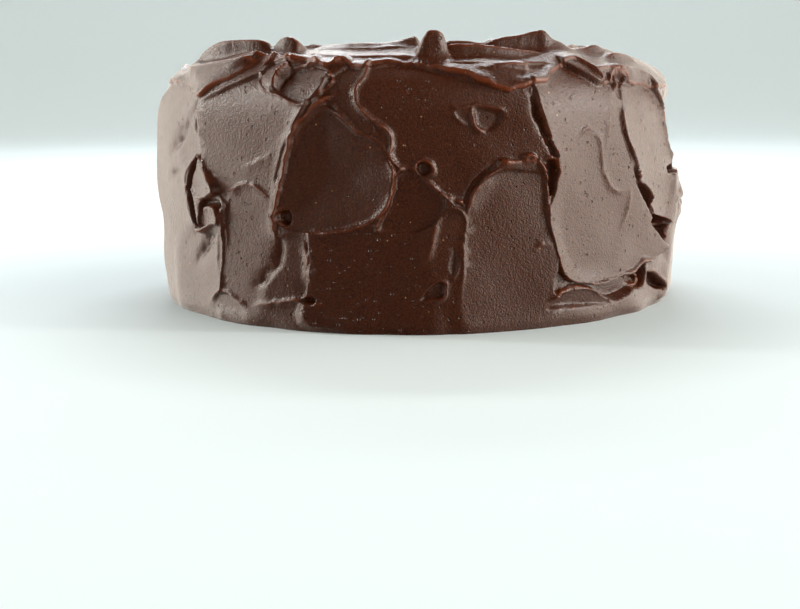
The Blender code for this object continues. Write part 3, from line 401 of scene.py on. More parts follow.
# Under the rim: a pocket and a scoop beside it, the narrow field next to them, then the broad dark field
SCOOP = [(-27, 101.8), (-28.2, 98), (-28, 93.6), (-24.6, 90)]
SCOOP += [(-22.2, 89), (-19.4, 93.2), (-17.2, 97.8), (-19, 101), (-23, 103)]
side_press(-33, -1.6, SCOOP)
POCKET = [(-33.6, 103), (-33.2, 98.6), (-31.6, 95.6), (-29.2, 94.4)]
POCKET += [(-28.7, 98), (-27.6, 101.6), (-29, 104), (-31.5, 105)]
side_press(-47, -3.2, POCKET)
POCKET_EDGE = [(-34.3, 104), (-33.8, 98.6), (-32.4, 95.4), (-30.1, 93.6)]
side_ridge(1.0, POCKET_EDGE + [(-26.5, 91.2), (-24.6, 89.3), (-22.8, 88.3), (-21.4, 89)], left=0.5, right=0.6)
POCKET_LIP = [(-26.5, 103.4), (-28, 101.4), (-28.9, 97.6), (-28.6, 93.6)]
side_ridge(1.6, POCKET_LIP, left=0.6, right=0.7, groove=0.8, lean=-0.6)
side_ridge(1.6, [(-35.6, 102), (-34.4, 104.4), (-32, 105), (-28, 104.4), (-24, 103.8)], left=2, lean=-0.6)
side_ridge(
    2.0, [(-28, 101.6), (-24, 102.8), (-20, 103.4), (-16.6, 103.2), (-13.6, 104.4)], left=2.4, lean=-0.6
)
NARROW = [(-17.8, 98.5), (-13.3, 104), (-10.3, 102), (-11.6, 93)]
NARROW += [(-8.6, 84), (-8.6, 77), (-13.2, 84.5), (-18.6, 90.5)]
side_press(-20, -1.0, NARROW, flat=0.6)
BROAD = [(-10.2, 102), (-5, 104.3), (0, 104), (5, 101.8), (12, 97)]
BROAD += [(17, 95), (22, 96), (22.6, 90), (25, 77), (27, 68)]
BROAD += [(20, 67.5), (15, 66), (11.5, 58), (9, 49), (5, 54.5), (1, 60), (-2.5, 64.5), (-4.8, 71), (-4.8, 78)]
side_press(3, -1.6, BROAD + [(-8.6, 84.5), (-11.4, 90), (-11.4, 95)], flat=0.42, bowl=0.5)
S_RIDGE = [(-13, 104), (-10.2, 102.3), (-10.3, 99), (-11.7, 94)]
S_RIDGE += [(-11.5, 90), (-9, 84.6), (-6.4, 81), (-4.7, 77.5)]
side_ridge(1.3, S_RIDGE + [(-4.6, 73), (-5, 70), (-3.6, 66), (-2.6, 65)], left=0.7, right=1.3, lean=-0.4)
side_ridge(-1.3, [(22, 91), (22.6, 86), (23.8, 80), (25.6, 73)], left=1.3, right=2.5)
side_press(
    10, -2.6, [(10.7, 87.5), (14.6, 87), (15.6, 84), (14.6, 80), (12.4, 78.7), (10.8, 82)], flat=0.4, soft=1.2
)
side_ridge(1.5, [(13.6, 78), (12, 78.4), (10.6, 81), (10.2, 85), (10.6, 88.4)], left=0.7, right=1.1)
side_ridge(0.9, [(6.4, 89.5), (6.9, 88), (9, 87.8), (12, 88.4), (15, 86.8), (17.4, 84.8)], right=0.7)
side_ridge(0.9, [(6.4, 88.5), (6.8, 85), (8, 82), (9.8, 80.2)], right=0.5)

# The deep egg-shaped dish with its thick left ridge, and the drop-shaped mark that it cuts
DROP = [(-4.6, 60), (-3.8, 63), (-1.6, 64.4), (0.6, 61.6), (4.8, 53.4)]
DROP += [(3.6, 46), (1, 41.5), (-3, 39.8), (-7.2, 41)]
side_press(-2, -2.6, DROP + [(-7, 45.5), (-5.4, 52)], flat=0.9)
side_ridge(0.9, [(0.4, 62.6), (-1.4, 64.8), (-3.2, 64.4), (-4.4, 61.5), (-4.9, 57)], left=0.6, right=1.0)
DISH = [(-18, 87.6), (-15.4, 85.6), (-13.2, 81.8), (-10.8, 78.2)]
DISH += [(-7.4, 75.4, 1.5), (-4.9, 66), (-4.8, 58), (-6.4, 50.5)]
DISH += [(-9.4, 45.2), (-14, 41.6), (-20, 40.2), (-25.6, 41)]
DISH += [(-27.4, 45), (-26.8, 54), (-25.6, 65), (-24, 75)]
side_press(-17, -1.4, DISH + [(-21.4, 83)], flat=1.0, bowl=2.4)
side_ridge(
    1.1, [(-6.6, 75), (-8.6, 76), (-10.9, 78.4), (-13.2, 81.9), (-15, 85), (-17.6, 87.6)], left=0.6, right=0.6
)
LIP = [(-23.5, 40.4), (-18, 40.2), (-13, 41.8), (-9, 45), (-6.3, 50), (-4.8, 57), (-4.9, 64), (-5.4, 69)]
side_ridge(0.5, LIP, left=4, right=0.6)
side_ridge(1.5, LIP, right=0.5, lean=-0.6)
side_ridge(0.8, [(-6.2, 39.6), (-8, 40.9), (-7.6, 44), (-6.2, 48.5)], right=0.7)
LEFT_RIDGE = [(-14.6, 93.6), (-17.8, 91), (-21, 85.4), (-23.6, 78.8)]
LEFT_RIDGE += [(-25.2, 71), (-26.2, 63), (-27.2, 55), (-28, 47.6), (-28.5, 41)]
side_ridge(2.2, LEFT_RIDGE + [(-28, 34)], left=0.7, right=1.5, lean=0.5)
side_ridge(0.7, LEFT_RIDGE + [(-28, 34)], left=0.7, right=4)
side_ridge(0.8, [(-17.6, 86.6), (-20, 84), (-22.2, 79.6), (-23.6, 74.6), (-24.6, 68)], left=0.6, right=0.5)
side_ridge(1.4, [(-21, 103), (-18.6, 101.4), (-17, 98), (-18.8, 93.8), (-21.2, 89.6)], left=0.6, right=0.9)
side_ridge(1.0, [(-16.9, 90.6), (-15.2, 87.7), (-13.2, 83)], left=0.5, right=0.6, taper=6)
side_ridge(1.5, [(-24.6, 42), (-27, 42.8), (-28.2, 45.6), (-27, 49), (-25.2, 48.6)], right=0.7)
side_press(-26, -3.0, [(-27.2, 47), (-25.4, 48), (-24.8, 45), (-25.4, 42.6), (-26.8, 43.6)], flat=0, soft=0.8)

# Where the drop meets the dark field: a burst bubble with its ring, and a ridge drawn down to the right
side_press(1, -3.4, [(0, 65.5), (0.8, 67), (2, 66), (2.3, 63.5), (1.2, 62.6), (0.2, 63.4)], flat=0, soft=0.7)
RING = [(1.2, 61.8), (2.6, 62.4), (2.8, 65), (1.6, 67.6), (0, 67.6), (-0.7, 65.2), (0.2, 62.8)]
side_ridge(1.6, RING, left=0.6, right=0.7)
side_ridge(
    1.3, [(0.6, 62), (2.4, 58.4), (4.6, 54.8), (7, 52.6), (8.6, 50.6), (9.2, 46.4)], right=1.0, torn=0.4
)

# Right: the broad pale field and the stroke laid into it
RIGHT = [(22.4, 95.5), (25, 100.6), (28, 103.4), (31.5, 104.6), (35.5, 101)]
RIGHT += [(40, 96.4), (43, 97), (46.6, 90), (46, 79)]
RIGHT += [(49, 66), (52, 57), (58, 46), (63.6, 35), (63, 27)]
RIGHT += [(57, 21.6), (48, 18), (39, 16.4), (33, 17.6), (29.6, 23)]
RIGHT += [(28, 31), (26, 38.5), (25.4, 46), (27.2, 56), (27.4, 66), (25.6, 76), (23.8, 85)]
side_press(40, -2.2, RIGHT, flat=0.8)
LAID = [(32, 73, 1), (33.4, 76.6), (35.4, 78.4), (37.6, 76.6), (39, 72)]
LAID += [(39.6, 64), (41.4, 56), (44, 52.2), (48, 51)]
LAID += [(47.8, 42, 3), (46, 32, 5), (42, 22, 5), (34, 20, 4)]
LAID += [(29.5, 28, 4), (27.4, 42, 4), (29, 58, 5), (31, 68, 4)]
side_press(38, -2.7, LAID, flat=0.8, bowl=0.6, up=0.3)
side_ridge(0.9, [(32, 72.6), (33.2, 76.2), (35.2, 78.6), (37.6, 77.4)], left=0.7, right=0.7)
S_LINE = [(36.4, 78.6), (38.4, 75), (39.4, 69), (39.8, 62), (41.4, 56), (44, 52.2), (47.4, 50.6)]
side_ridge(0.55, S_LINE, left=1.2, right=1.2)
side_ridge(0.6, [(42.3, 95), (42.2, 86), (41.2, 76), (40.4, 68)], left=1.0, right=2.0)
side_ridge(0.6, [(48.2, 56), (48.2, 48), (47.2, 40), (45.6, 34)], right=1.6)
LEFT_EDGE = [(27.4, 62), (26.9, 69), (25.5, 75), (24.4, 81), (23.2, 88), (22.2, 95.4)]
side_ridge(1.0, LEFT_EDGE, left=0.5, right=2.4, groove=2.6, groove_wide=1.5, lean=0.6)
LOWER_EDGE = [(45, 16.6), (39, 15.9), (34, 16.8), (30.4, 20.6)]
LOWER_EDGE += [(28.8, 26.6), (27.6, 32), (25.9, 38), (25.3, 44)]
side_ridge(1.0, LOWER_EDGE[::-1], left=2.6, right=0.5, lean=-0.7)
side_press(
    30, -3.4, [(27.6, 28), (29.4, 22), (33, 17.4), (37, 15.6), (31, 14.6), (28, 14), (27.2, 20)], soft=0.9
)
side_press(
    38, -1.8, [(33, 17), (40, 15), (48, 17), (52, 13), (46, 8), (41.6, 10), (37, 14.4)], up=1.2, soft=0.8
)

# The arched stroke with its rough crest, and the hooded hollow at its right shoulder
ARCH_D = [(9.2, 46), (10.2, 53), (12.4, 59), (15.4, 62.6), (20, 63)]
ARCH_D += [(24, 61.6), (24.9, 57), (25.3, 48), (25.8, 40)]
ARCH_D += [(27.4, 33), (28.2, 25), (27, 18), (26.6, 3, 5), (8.8, 3, 5), (8.5, 28)]
side_press(17, -1.9, ARCH_D)
side_ridge(
    1.6,
    [(9, 46), (9.8, 51.5), (11.6, 57.6), (13.6, 62), (16, 65.4)],
    left=0.6,
    right=2.6,
    groove=1.0,
    lean=0.6,
)
side_ridge(2.0, [(13.6, 63), (16, 65.8), (19, 66.2), (22, 66.4), (24.6, 64)], left=0.9, right=2.4, lean=0.5)
side_ridge(1.6, [(14.6, 65.6), (15.8, 66.4), (17.8, 66.6)], right=1.2, lean=0.6, taper=6)
side_ridge(
    2.4, [(19.6, 66.2), (20.6, 68.2), (21.6, 67.6), (22.4, 66)], left=0.9, right=1.4, lean=0.6, taper=6
)
side_ridge(2.0, [(22.4, 67), (23.2, 66.4), (24, 63.6), (24.4, 62)], left=0.9, right=1.4, taper=6)
side_ridge(1.0, [(24, 65), (24.9, 60), (25.2, 53), (25.3, 46), (25.6, 41)], left=0.7, right=0.9)
side_ridge(0.7, [(22.4, 31), (24, 33.6), (25.6, 34), (27.4, 33)], torn=0.6)
side_press(
    24, -4.0, [(25, 66.4), (26.2, 66.8), (27, 63.6), (27, 58), (26.5, 53), (25.6, 55), (25.2, 61)], soft=0.6
)
side_ridge(
    1.9, [(23.8, 66.6), (25.4, 68.4), (27, 66.6), (27.6, 62.6), (27.3, 57)], left=0.9, right=0.6, lean=-0.6
)

# The square hood under the right rim, and the strokes at the far right with the deep slots between them
HOOD = [(45.4, 97.6), (47.2, 98.8), (49.2, 98.2), (49.9, 94), (49.6, 90), (45.6, 90), (45.3, 94)]
side_press(51, -2.8, HOOD, soft=0.6)
HOOD_EDGE = [(44.9, 90.4), (44.7, 95.2), (45.4, 98.4), (47.2, 99.7), (49.5, 99.1), (50.4, 95), (50.1, 90.2)]
side_ridge(1.3, HOOD_EDGE, left=0.6, right=0.5)
FAR_RIGHT = [(46.6, 91), (45.8, 83), (46.6, 75), (49.8, 64.6), (52.4, 57)]
FAR_RIGHT += [(57, 49.6), (60, 41.8), (63.8, 35), (64, 28)]
FAR_RIGHT += [(67, 20, 4), (71, 36, 6), (71, 56), (69.6, 64)]
FAR_RIGHT += [(68, 71.4), (66, 79.6), (64, 88), (59, 96.6)]
side_press(56, -3.0, FAR_RIGHT + [(49, 96.6)], flat=0.9)
SLOT_EDGE = [(62.6, 34), (61, 40), (58, 46.6), (54.4, 52.6), (51.4, 58.6), (49.4, 64.4)]
side_ridge(0.9, SLOT_EDGE, left=0.5, right=2.4, groove=3.0, groove_wide=1.3, lean=0.9)
side_ridge(
    0.7,
    [(50, 62), (48.2, 68), (46.6, 75), (45.9, 82), (46.4, 90)],
    left=0.5,
    right=1.8,
    groove=0.9,
    groove_wide=0.8,
)
side_press(
    56, -5.5, [(50, 56), (53, 53.4), (57.6, 46.6), (60.4, 40), (60, 36.4), (57, 38), (53.6, 47)], soft=0.9
)
side_press(60, -3.0, [(56, 38), (60, 36), (63.4, 34), (63, 28), (60, 31)], soft=2)
side_press(
    84,
    1.8,
    [(64, 4, 3), (67, 22, 5), (70, 38, 6), (71, 56), (80, 57), (98, 54, 3), (104, 26, 6), (100, 4, 6)],
    flat=0.1,
)
side_ridge(2.6, [(80, 32), (77, 40), (76, 48), (78, 57)], left=9, right=9)
FAR_EDGE = [(74, 59), (71, 64, 2), (69, 74, 1), (67, 84, 1), (67, 91), (74, 90, 3), (98, 88, 6), (104, 76, 6)]
side_press(84, -4.0, FAR_EDGE + [(98, 58, 4)], flat=0.25)
side_press(
    68,
    -4.0,
    [(65, 89), (66.4, 88), (68.2, 80), (70.6, 71.6), (73.6, 64.6), (73.6, 61.8), (69.6, 65.4), (66.4, 78)],
    soft=0.7,
)
side_ridge(1.2, [(74.6, 60.6), (70.6, 64), (68, 70.6), (66, 79), (64.4, 88.6)], left=1.8, right=0.7)
side_ridge(1.0, [(68, 92), (69, 84), (71.6, 74), (75, 66)], left=1.6, right=0.7)
side_press(70, -3.0, [(67.6, 58.6), (70, 59.4), (73, 57.4), (71, 56), (68.6, 56.4)], soft=0.6)

# Torn folds at the left: a deep slot, a folded flap over it, and a hooked curl under the flap
SLOT = [(-50.2, 68), (-52.6, 63), (-54.2, 58), (-54, 51)]
SLOT += [(-53.2, 44), (-51.6, 39.6), (-50, 38.4), (-50.6, 44)]
side_press(-56, -5.0, SLOT + [(-51.6, 50), (-53, 54), (-52.2, 59), (-50.6, 64)], flat=0.4, soft=0.6)
FLAP = [(-48.6, 66.4), (-50.8, 62), (-52.7, 56), (-52.2, 53)]
FLAP += [(-49.6, 50.6), (-47, 50.4), (-42.6, 53.8), (-45, 60)]
side_press(-62, -3.0, FLAP, flat=1.0)
side_ridge(
    1.2, [(-42.2, 53.6), (-44.4, 58.4), (-46.6, 62.6), (-48.8, 67.4), (-50.6, 68.6)], left=1.0, right=0.7
)
side_ridge(
    0.9, [(-50.4, 68.8), (-53, 64), (-55.2, 59.4), (-55, 53), (-54.2, 45), (-52.4, 38.6)], left=0.6, right=1.6
)
side_ridge(0.9, [(-53.2, 54), (-50, 50.8), (-47, 50.4), (-44.6, 52), (-42.6, 53.4)], left=0.9, right=0.6)
side_press(
    -60,
    -3.2,
    [(-49.4, 38.6), (-49, 44), (-47, 46.4), (-43.4, 47), (-42, 44), (-42.4, 40.4), (-45, 40)],
    flat=1.0,
)
side_press(
    -47, -2.8, [(-48.8, 44), (-48.4, 48.6), (-43.6, 50), (-42.2, 47.6), (-44.6, 48), (-47.4, 46.8)], soft=0.7
)
side_ridge(1.0, [(-52.2, 38.8), (-50, 37), (-47, 38.2), (-44, 41.2)], left=0.7, right=1.8)
side_ridge(
    0.8, [(-48.4, 43), (-47.6, 46.2), (-45, 47.6), (-42.6, 46), (-41.6, 42), (-41.8, 38)], left=0.6, right=0.9
)

# Along the foot: torn hollows, a curl of frosting in one of them, and a low arch at the right
side_press(-43, -2.6, [(-48.4, 5, 2), (-46, 10), (-42.6, 12), (-39.4, 9), (-38, 4, 3)], soft=0.6)
side_ridge(1.1, [(-49, 6), (-46.4, 10.8), (-42.6, 12.8), (-38.8, 9.6), (-36.4, 7.6)], left=0.7, right=0.6)
side_ridge(1.3, [(-36, 8), (-32, 10), (-27, 11.8), (-23.4, 12.8), (-20.6, 12.2), (-16, 10.6)], right=1.4)
side_press(-22, -2.0, [(-23.4, 12), (-21.6, 13.6), (-20.4, 13), (-20.6, 11.6)], flat=0, soft=0.8)
side_press(
    3, -2.4, [(0.5, 14.3), (2, 18), (3.8, 20.7), (4.8, 19.6), (4.7, 15.8), (3.4, 14.4)], flat=0, soft=0.6
)
side_ridge(0.8, [(0.4, 14), (3.6, 13.8), (5.1, 16), (5.1, 20), (3.6, 21.2), (1.4, 17.6)], left=0.5, right=0.7)
side_press(6.4, -1.8, [(6.4, 34), (7.2, 28.6), (6.6, 23.6), (5.9, 26)], flat=0, soft=0.6)
side_ridge(0.6, [(6.5, 34.4), (7.5, 29), (6.9, 23.4), (5.8, 23.4)], left=0.6, right=0.6)
LOW_ARCH = [(26.6, 8), (28.4, 12.4), (31.6, 14.6), (36, 14.4), (40, 11), (41.6, 7)]
side_press(24, 9.6, LOW_ARCH, flat=0.6, up=3, soft=0.6)
side_ridge(1.7, [(25.6, 10.8), (28.4, 13.2), (32, 15.2), (36, 15), (39.6, 12), (42.6, 8.6)], right=0.7)
side_press(
    53, -5.0, [(50, 16.4), (52.6, 20), (55.4, 20.4), (55.4, 14.6), (53.6, 10.8), (50, 11.4)], flat=0, soft=0.6
)
side_ridge(3.0, [(49.6, 13), (51.6, 11.4), (53.8, 12.8), (53.2, 15.6), (51, 15.8)])
side_ridge(1.6, [(45, 17), (50, 18.6), (53.4, 21.8), (57, 21.6), (60.6, 23)], right=1.2)
side_ridge(1.2, [(56.2, 20.4), (56.2, 15.6), (54.8, 11), (52, 9.4)], right=1.0)
side_press(61, -4.6, [(56.8, 16), (59.6, 14), (63, 10.6), (66, 7), (61, 8), (57.6, 11.4)], flat=0.3, soft=0.6)
side_ridge(1.3, [(56.6, 17), (60, 15.2), (64, 11.4), (68, 7.6)])

# Marks on top. Long strokes follow the edge all round but for the front, and others lie across the middle.
top = Frosting(points[:, 0], points[:, 1], swell + 0.6)


def plan(turn_degrees, from_axis):
    """A place on top as seen from above."""
    a = math.radians(turn_degrees)
    return from_axis * math.sin(a), -from_axis * math.cos(a)


rng = np.random.default_rng(12)
round_the_edge = np.linspace(72, 288, 17)
outer_strokes = [(way_round, rng.uniform(86, 99), rng.uniform(7, 11)) for way_round in round_the_edge]
inner_strokes = [(rng.uniform(-180, 180), rng.uniform(10, 68), rng.uniform(10, 16)) for _ in range(15)]
for turn_degrees, from_axis, half_wide in outer_strokes + inner_strokes:
    middle_x, middle_y = plan(turn_degrees + rng.uniform(-5, 5), from_axis)
    way = math.radians(turn_degrees + rng.uniform(-22, 22))
    half_long = rng.uniform(22, 40)
    outline = []
    for spoke in range(8):
        long = half_long * math.cos(spoke * math.pi / 4) * rng.uniform(0.85, 1.15)
        wide = half_wide * math.sin(spoke * math.pi / 4) * rng.uniform(0.8, 1.2)
        out_x = middle_x + long * math.cos(way) - wide * math.sin(way)
        out_y = middle_y + long * math.sin(way) + wide * math.cos(way)
        outline.append((out_x, out_y, rng.uniform(0.6, 3)))
    across = (top.x - middle_x) * math.sin(way) - (top.y - middle_y) * math.cos(way)
    slant = across * rng.uniform(-0.04, 0.04)
    top.press(outline, rng.uniform(-1.0, 1.0) + slant + 0.3 * swell, bowl=rng.uniform(0, 1.2))
    first = rng.integers(0, 4)
    edge = [place[:2] for place in outline[first : first + 5]]
    top.ridge(edge, rng.uniform(0.8, 2.2), left=1.2, right=2.0, lean=-0.4)


CREST_REACHED = 0.95
upper_profile = profile[profile[:, 1] > 60]


def top_ridge(from_axis, places, left=4.0, right=1.4, **ridge):
    """Draws a ridge up to the heights of the places, each a turn and a height over the board. from_axis is
    how far out it starts and ends."""
    line = []
    for (turn_degrees, crest), out in zip(places, np.linspace(*from_axis, len(places))):
        base = np.interp(-out, -upper_profile[:, 0], upper_profile[:, 1])
        line.append((*plan(turn_degrees, out), (crest - base) / CREST_REACHED))
    top.ridge(line, left=left, right=right, taper=4, wobble=0.12, **ridge)


# Ridges drawn across the front of the top: at the left, a rounded peak, a long low one, the broad one farther
# back, those over the right shoulder, and the ones nearest the front with the curl
top_ridge(
    (108, 93),
    [(-63, 103), (-58, 106.6), (-56.5, 110), (-51.6, 113.4), (-46.6, 114), (-40, 113.6), (-37.4, 111)],
    left=7,
    right=2.6,
)
top_ridge((92, 92), [(-38.6, 111), (-35.8, 114), (-33.2, 114.8), (-31, 113.5), (-29.2, 110)], right=3)
top_ridge(
    (110, 102), [(-62, 103), (-54.2, 104.8), (-44.7, 106.7), (-36.4, 108.6), (-30, 110)], left=3, right=7
)
top_ridge((104, 100), [(-60, 104.6), (-52, 106.2), (-44, 108.2), (-37, 110), (-32, 110.2)], left=1.6)
top_ridge(
    (88, 84),
    [(-30.4, 110.4), (-20, 112.1), (-15, 112.6), (-8.4, 112.4), (-4, 113.6), (2.6, 116)],
    left=5,
    right=5,
)
top_ridge((90, 88), [(-26, 110.6), (-18, 111), (-11, 110.8), (-5, 111.4), (-1, 111)], left=1.4, right=1.0)
top_ridge((83, 84), [(5, 112.9), (13.1, 113), (18.2, 112.2), (20.6, 113.4), (23, 112.6)], left=5, right=2)
BROAD_RIDGE = [(17, 111), (22.5, 113.8), (28.1, 114.8), (32.3, 116.2)]
BROAD_RIDGE += [(34.4, 116.4), (36.8, 113.4), (39.7, 111.6)]
top_ridge((84, 96), BROAD_RIDGE + [(43.5, 108.9), (49.5, 105.7), (54.4, 102.6)], left=6, right=2.4)
top_ridge(
    (92, 98),
    [(38, 109.6), (46.5, 109.7), (50.8, 111), (54.7, 109.6), (63.8, 107.2), (72, 104)],
    left=3,
    right=2,
)
top_ridge((100, 108), [(50, 108), (58.5, 107.3), (64.5, 104.4), (73.3, 101.2), (84, 98)], left=3, right=1.6)
top_ridge(
    (98, 99), [(-29.5, 108.2), (-19, 107.8), (-13, 107.5), (-7.3, 107.6), (1, 107.4)], right=1.0, lean=-0.5
)
top_ridge(
    (93, 97),
    [(5.9, 105.8), (7.2, 111), (12.8, 111.6), (17.8, 110.8), (25, 109.2), (33.3, 107.4), (40, 105)],
    right=1.6,
)
top_ridge(
    (96, 94),
    [(-1, 107), (0.6, 111.4), (1.6, 114.6), (2.7, 116.6), (4.6, 116.8), (5.9, 115.4), (6.6, 112.6), (7, 108)],
    left=2.8,
    right=3.0,
)
top_ridge(
    (103, 104), [(3, 104), (10, 105), (18, 104.6), (25, 104.6), (32, 104)], left=1.2, right=1.0, lean=-0.4
)
top_ridge(
    (107, 107), [(8, 101.6), (12.5, 103), (16, 103.4), (20, 102.4), (25, 102)], left=1.2, right=1.0, torn=0.8
)
top_ridge((106, 107), [(14, 103.6), (18, 104.4), (21, 104.4), (24.5, 103.4)], left=2.6, right=0.8, lean=-0.5)
top_ridge(
    (109, 108), [(36, 104), (41, 102.6), (46, 103.4), (52, 102.6), (58, 101)], left=1.4, right=1.0, lean=-0.5
)

# The rim, where the strokes of the side end under those of the top: its turn, and how far up it runs
RIM = [(-180, 103), (-150, 105), (-120, 101), (-95, 103), (-78, 99.3), (-66.7, 99.9)]
RIM += [(-56.6, 98), (-51.8, 94.4), (-49, 92.8), (-45.7, 97.3), (-42.1, 100.2), (-39.6, 104)]
RIM += [(-36, 111), (-26, 112), (-21, 109), (-18.6, 107.7), (-15.7, 110.5), (-11.5, 107.6)]
RIM += [(-8, 110.8), (-3.7, 111.7), (0.6, 110.5), (4.7, 106.8), (8.6, 104.5), (12.3, 100.4)]
RIM += [(15.1, 97.5), (18, 95.8), (21.3, 96.8), (25.6, 98.8), (27.2, 101), (28.9, 104.5)]
RIM += [(33, 109), (36.5, 111), (38.6, 109.5), (40.5, 102.5), (41.8, 98.6), (43.6, 98.8)]
RIM += [(45, 101.4), (47.5, 103.6), (50, 101.8), (52, 98.8), (58, 98), (66, 95)]
RIM += [(95, 103), (115, 100), (135, 106), (158, 101), (180, 103)]
rim = curve_through(RIM, pieces=12)
beyond = climb - np.interp(np.degrees(turn), rim[:, 0], rim[:, 1])
beyond += 0.4 * ripple(arc, 0 * arc, waves(8, 5, 14))

# The lip along the rim is highest over the broad dark field
LIP_HEIGHT = 0.7
DARK_FIELD_LIP = 1.0
DARK_FIELD_TURN = 15
rim_height = np.clip(LIP_HEIGHT + 0.4 * ripple(arc, 0 * arc, waves(9, 12, 50)), 0, None)
rim_height += DARK_FIELD_LIP * smooth(1.5 - np.abs(np.degrees(turn) - DARK_FIELD_TURN) / 10)
slope_above = np.exp(-np.abs(beyond / 3.0) ** 1.5)
drop_below = np.exp(-((beyond / 0.6) ** 2))
rim_lip = rim_height * np.where(beyond > 0, slope_above, drop_below)
over = smooth(0.5 + beyond / 1.2)

# The top starts a little above the stroke that it meets, and reaches its own height over the levelling
RIM_STEP = 0.7
LEVELLING = 6
on_map = np.zeros((len(column_turn), len(row_climb)))
on_map[column, row] = side.height
rim_climb = np.interp(np.degrees(column_turn), rim[:, 0], rim[:, 1])
row_below_rim = np.searchsorted(row_climb, rim_climb - 1)
start_height = on_map[np.arange(len(column_turn)), row_below_rim][column] + RIM_STEP
top.height = start_height + (top.height - start_height) * smooth(beyond / LEVELLING)

EVENED_OUT = 15


def meet_at_back(values):
    """Evens out the step between the two edges of the map of the side, which meet at the back."""
    step = np.zeros(len(row_climb))
    step[row[column == column.max()]] = values[column == column.max()]
    step[row[column == 0]] -= values[column == 0]
    fade = smooth(1 - (math.pi - np.abs(turn)) * SIDE_RADIUS / EVENED_OUT)
    return values - 0.5 * np.sign(turn) * fade * step[row]


height = side.height * (1 - over) + top.height * over + rim_lip
rim_crest = np.exp(-((beyond / THIN_CREST) ** 2)) * rim_height
thin = meet_at_back(np.maximum(side.thin * (1 - over) + top.thin * over, rim_crest))
lean_round = meet_at_back(side.lean_x * (1 - over))
lean_up = meet_at_back(side.lean_y * (1 - over) - 0.8 * rim_height * np.exp(-((beyond / 1.2) ** 2)))

# The foot spreads unevenly where the knife met the board, and the underside stays flat
FOOT_FLARE = 1.4
FOOT_RISE = 6.0
foot = 1 + 0.5 * ripple(arc, 0 * arc, waves(15, 14, 60))
height += FOOT_FLARE * foot * np.exp(-((climb / FOOT_RISE) ** 2))

# The coat is thinner low at the back, in front and at the left
THINNER_BEHIND = 0.5
THINNER_IN_FRONT = 0.4
THINNER_AT_LEFT = 1.2


def nearby(away, reach):
    """1 where the turn away is small, and 0 well past the reach, both in radians."""
    return smooth(1.6 - away / reach)


height -= THINNER_BEHIND * nearby(math.pi - np.abs(turn), 0.5) * smooth(2 - climb / 50)
thinner = THINNER_IN_FRONT * nearby(np.abs(turn), 0.4)
thinner += THINNER_AT_LEFT * nearby(np.abs(turn + math.pi / 2), 0.3)
height -= thinner
height = meet_at_back(height)
underside = row_inset[row] > 0
height[underside] = 0
off_the_board = smooth(climb / FOOT_RISE)
rise = np.interp(climb, profile_climb, np.gradient(profile[:, 1], profile_climb))
shrink = np.interp(climb, profile_climb, -np.gradient(profile[:, 0], profile_climb))
out = height * rise - lean_up * shrink * off_the_board
points[:, 0] += out * np.sin(turn) + (lean_round * np.cos(turn) + top.lean_x * over) * off_the_board
points[:, 1] += -out * np.cos(turn) + (lean_round * np.sin(turn) + top.lean_y * over) * off_the_board
points[:, 2] += (height * shrink + lean_up * rise) * off_the_board
points[:, 2] = np.clip(points[:, 2], 0, None)
for pole in (row == 0, row == row.max()):
    points[pole] = points[pole].mean(0)
cake_mesh.vertices.foreach_set("co", (points * MM).ravel())
cake_mesh.update()
cake_mesh.attributes.new("thin_edge", "FLOAT", "POINT").data.foreach_set("value", np.clip(thin, 0, 1))

# The seam at the back and both poles are closed, and faces are kept where the frosting is most uneven
closed = bmesh.new()
closed.from_mesh(cake_mesh)
bmesh.ops.remove_doubles(closed, verts=[v for v in closed.verts if v.is_boundary], dist=1e-6)
bmesh.ops.recalc_face_normals(closed, faces=closed.faces[:])
triangles = sum(len(face.verts) - 2 for face in closed.faces)
closed.to_mesh(cake_mesh)
closed.free()
worked = bpy.data.objects.new("worked_frosting", cake_mesh)
bpy.context.scene.collection.objects.link(worked)
thin_out = worked.modifiers.new("thin_out", "DECIMATE")
thin_out.ratio = MOST_TRIANGLES / triangles
bpy.context.view_layer.update()
frosting_mesh = bpy.data.meshes.new_from_object(worked.evaluated_get(bpy.context.evaluated_depsgraph_get()))
bpy.data.objects.remove(worked)
frosting_mesh.shade_smooth()
frosting = bpy.data.objects.new("chocolate_frosting", frosting_mesh)
bpy.context.scene.collection.objects.link(frosting)


def linear(hex_colour):
    """A linear colour with alpha from an sRGB hex value."""
    channels = [int(hex_colour[i : i + 2], 16) / 255 for i in (1, 3, 5)]
    return [c / 12.92 if c <= 0.04045 else ((c + 0.055) / 1.055) ** 2.4 for c in channels] + [1.0]


# Dark chocolate frosting, cocoa and sugar beaten into butter and smoothed with a knife. Its skin is satin:
# strokes that face the pale walls of the room mirror them softly, and the others stay nearly black.
chocolate = bpy.data.materials.new("dark_chocolate_frosting_satin")
chocolate.use_nodes = True
shader = chocolate.node_tree.nodes["Principled BSDF"]
shader.inputs["Roughness"].default_value = 0.2
shader.inputs["IOR"].default_value = 1.47
shader.inputs["Subsurface Weight"].default_value = 0.3
shader.inputs["Subsurface Radius"].default_value = (1.0, 0.3, 0.15)
shader.inputs["Subsurface Scale"].default_value = 2.0 * MM


def add_node(tree, kind, settings=None, **links):
    """Adds a node, with its settings by name and its inputs as values or as links from other sockets."""
    node = tree.nodes.new("ShaderNode" + kind)
    for name, value in (settings or {}).items():
        setattr(node, name, value)
    for name, value in links.items():
        socket = node.inputs[int(name[1:])] if name[1:].isdigit() else node.inputs[name.replace("_", " ")]
        if isinstance(value, bpy.types.NodeSocket):
            tree.links.new(value, socket)
        else:
            socket.default_value = value
    return node


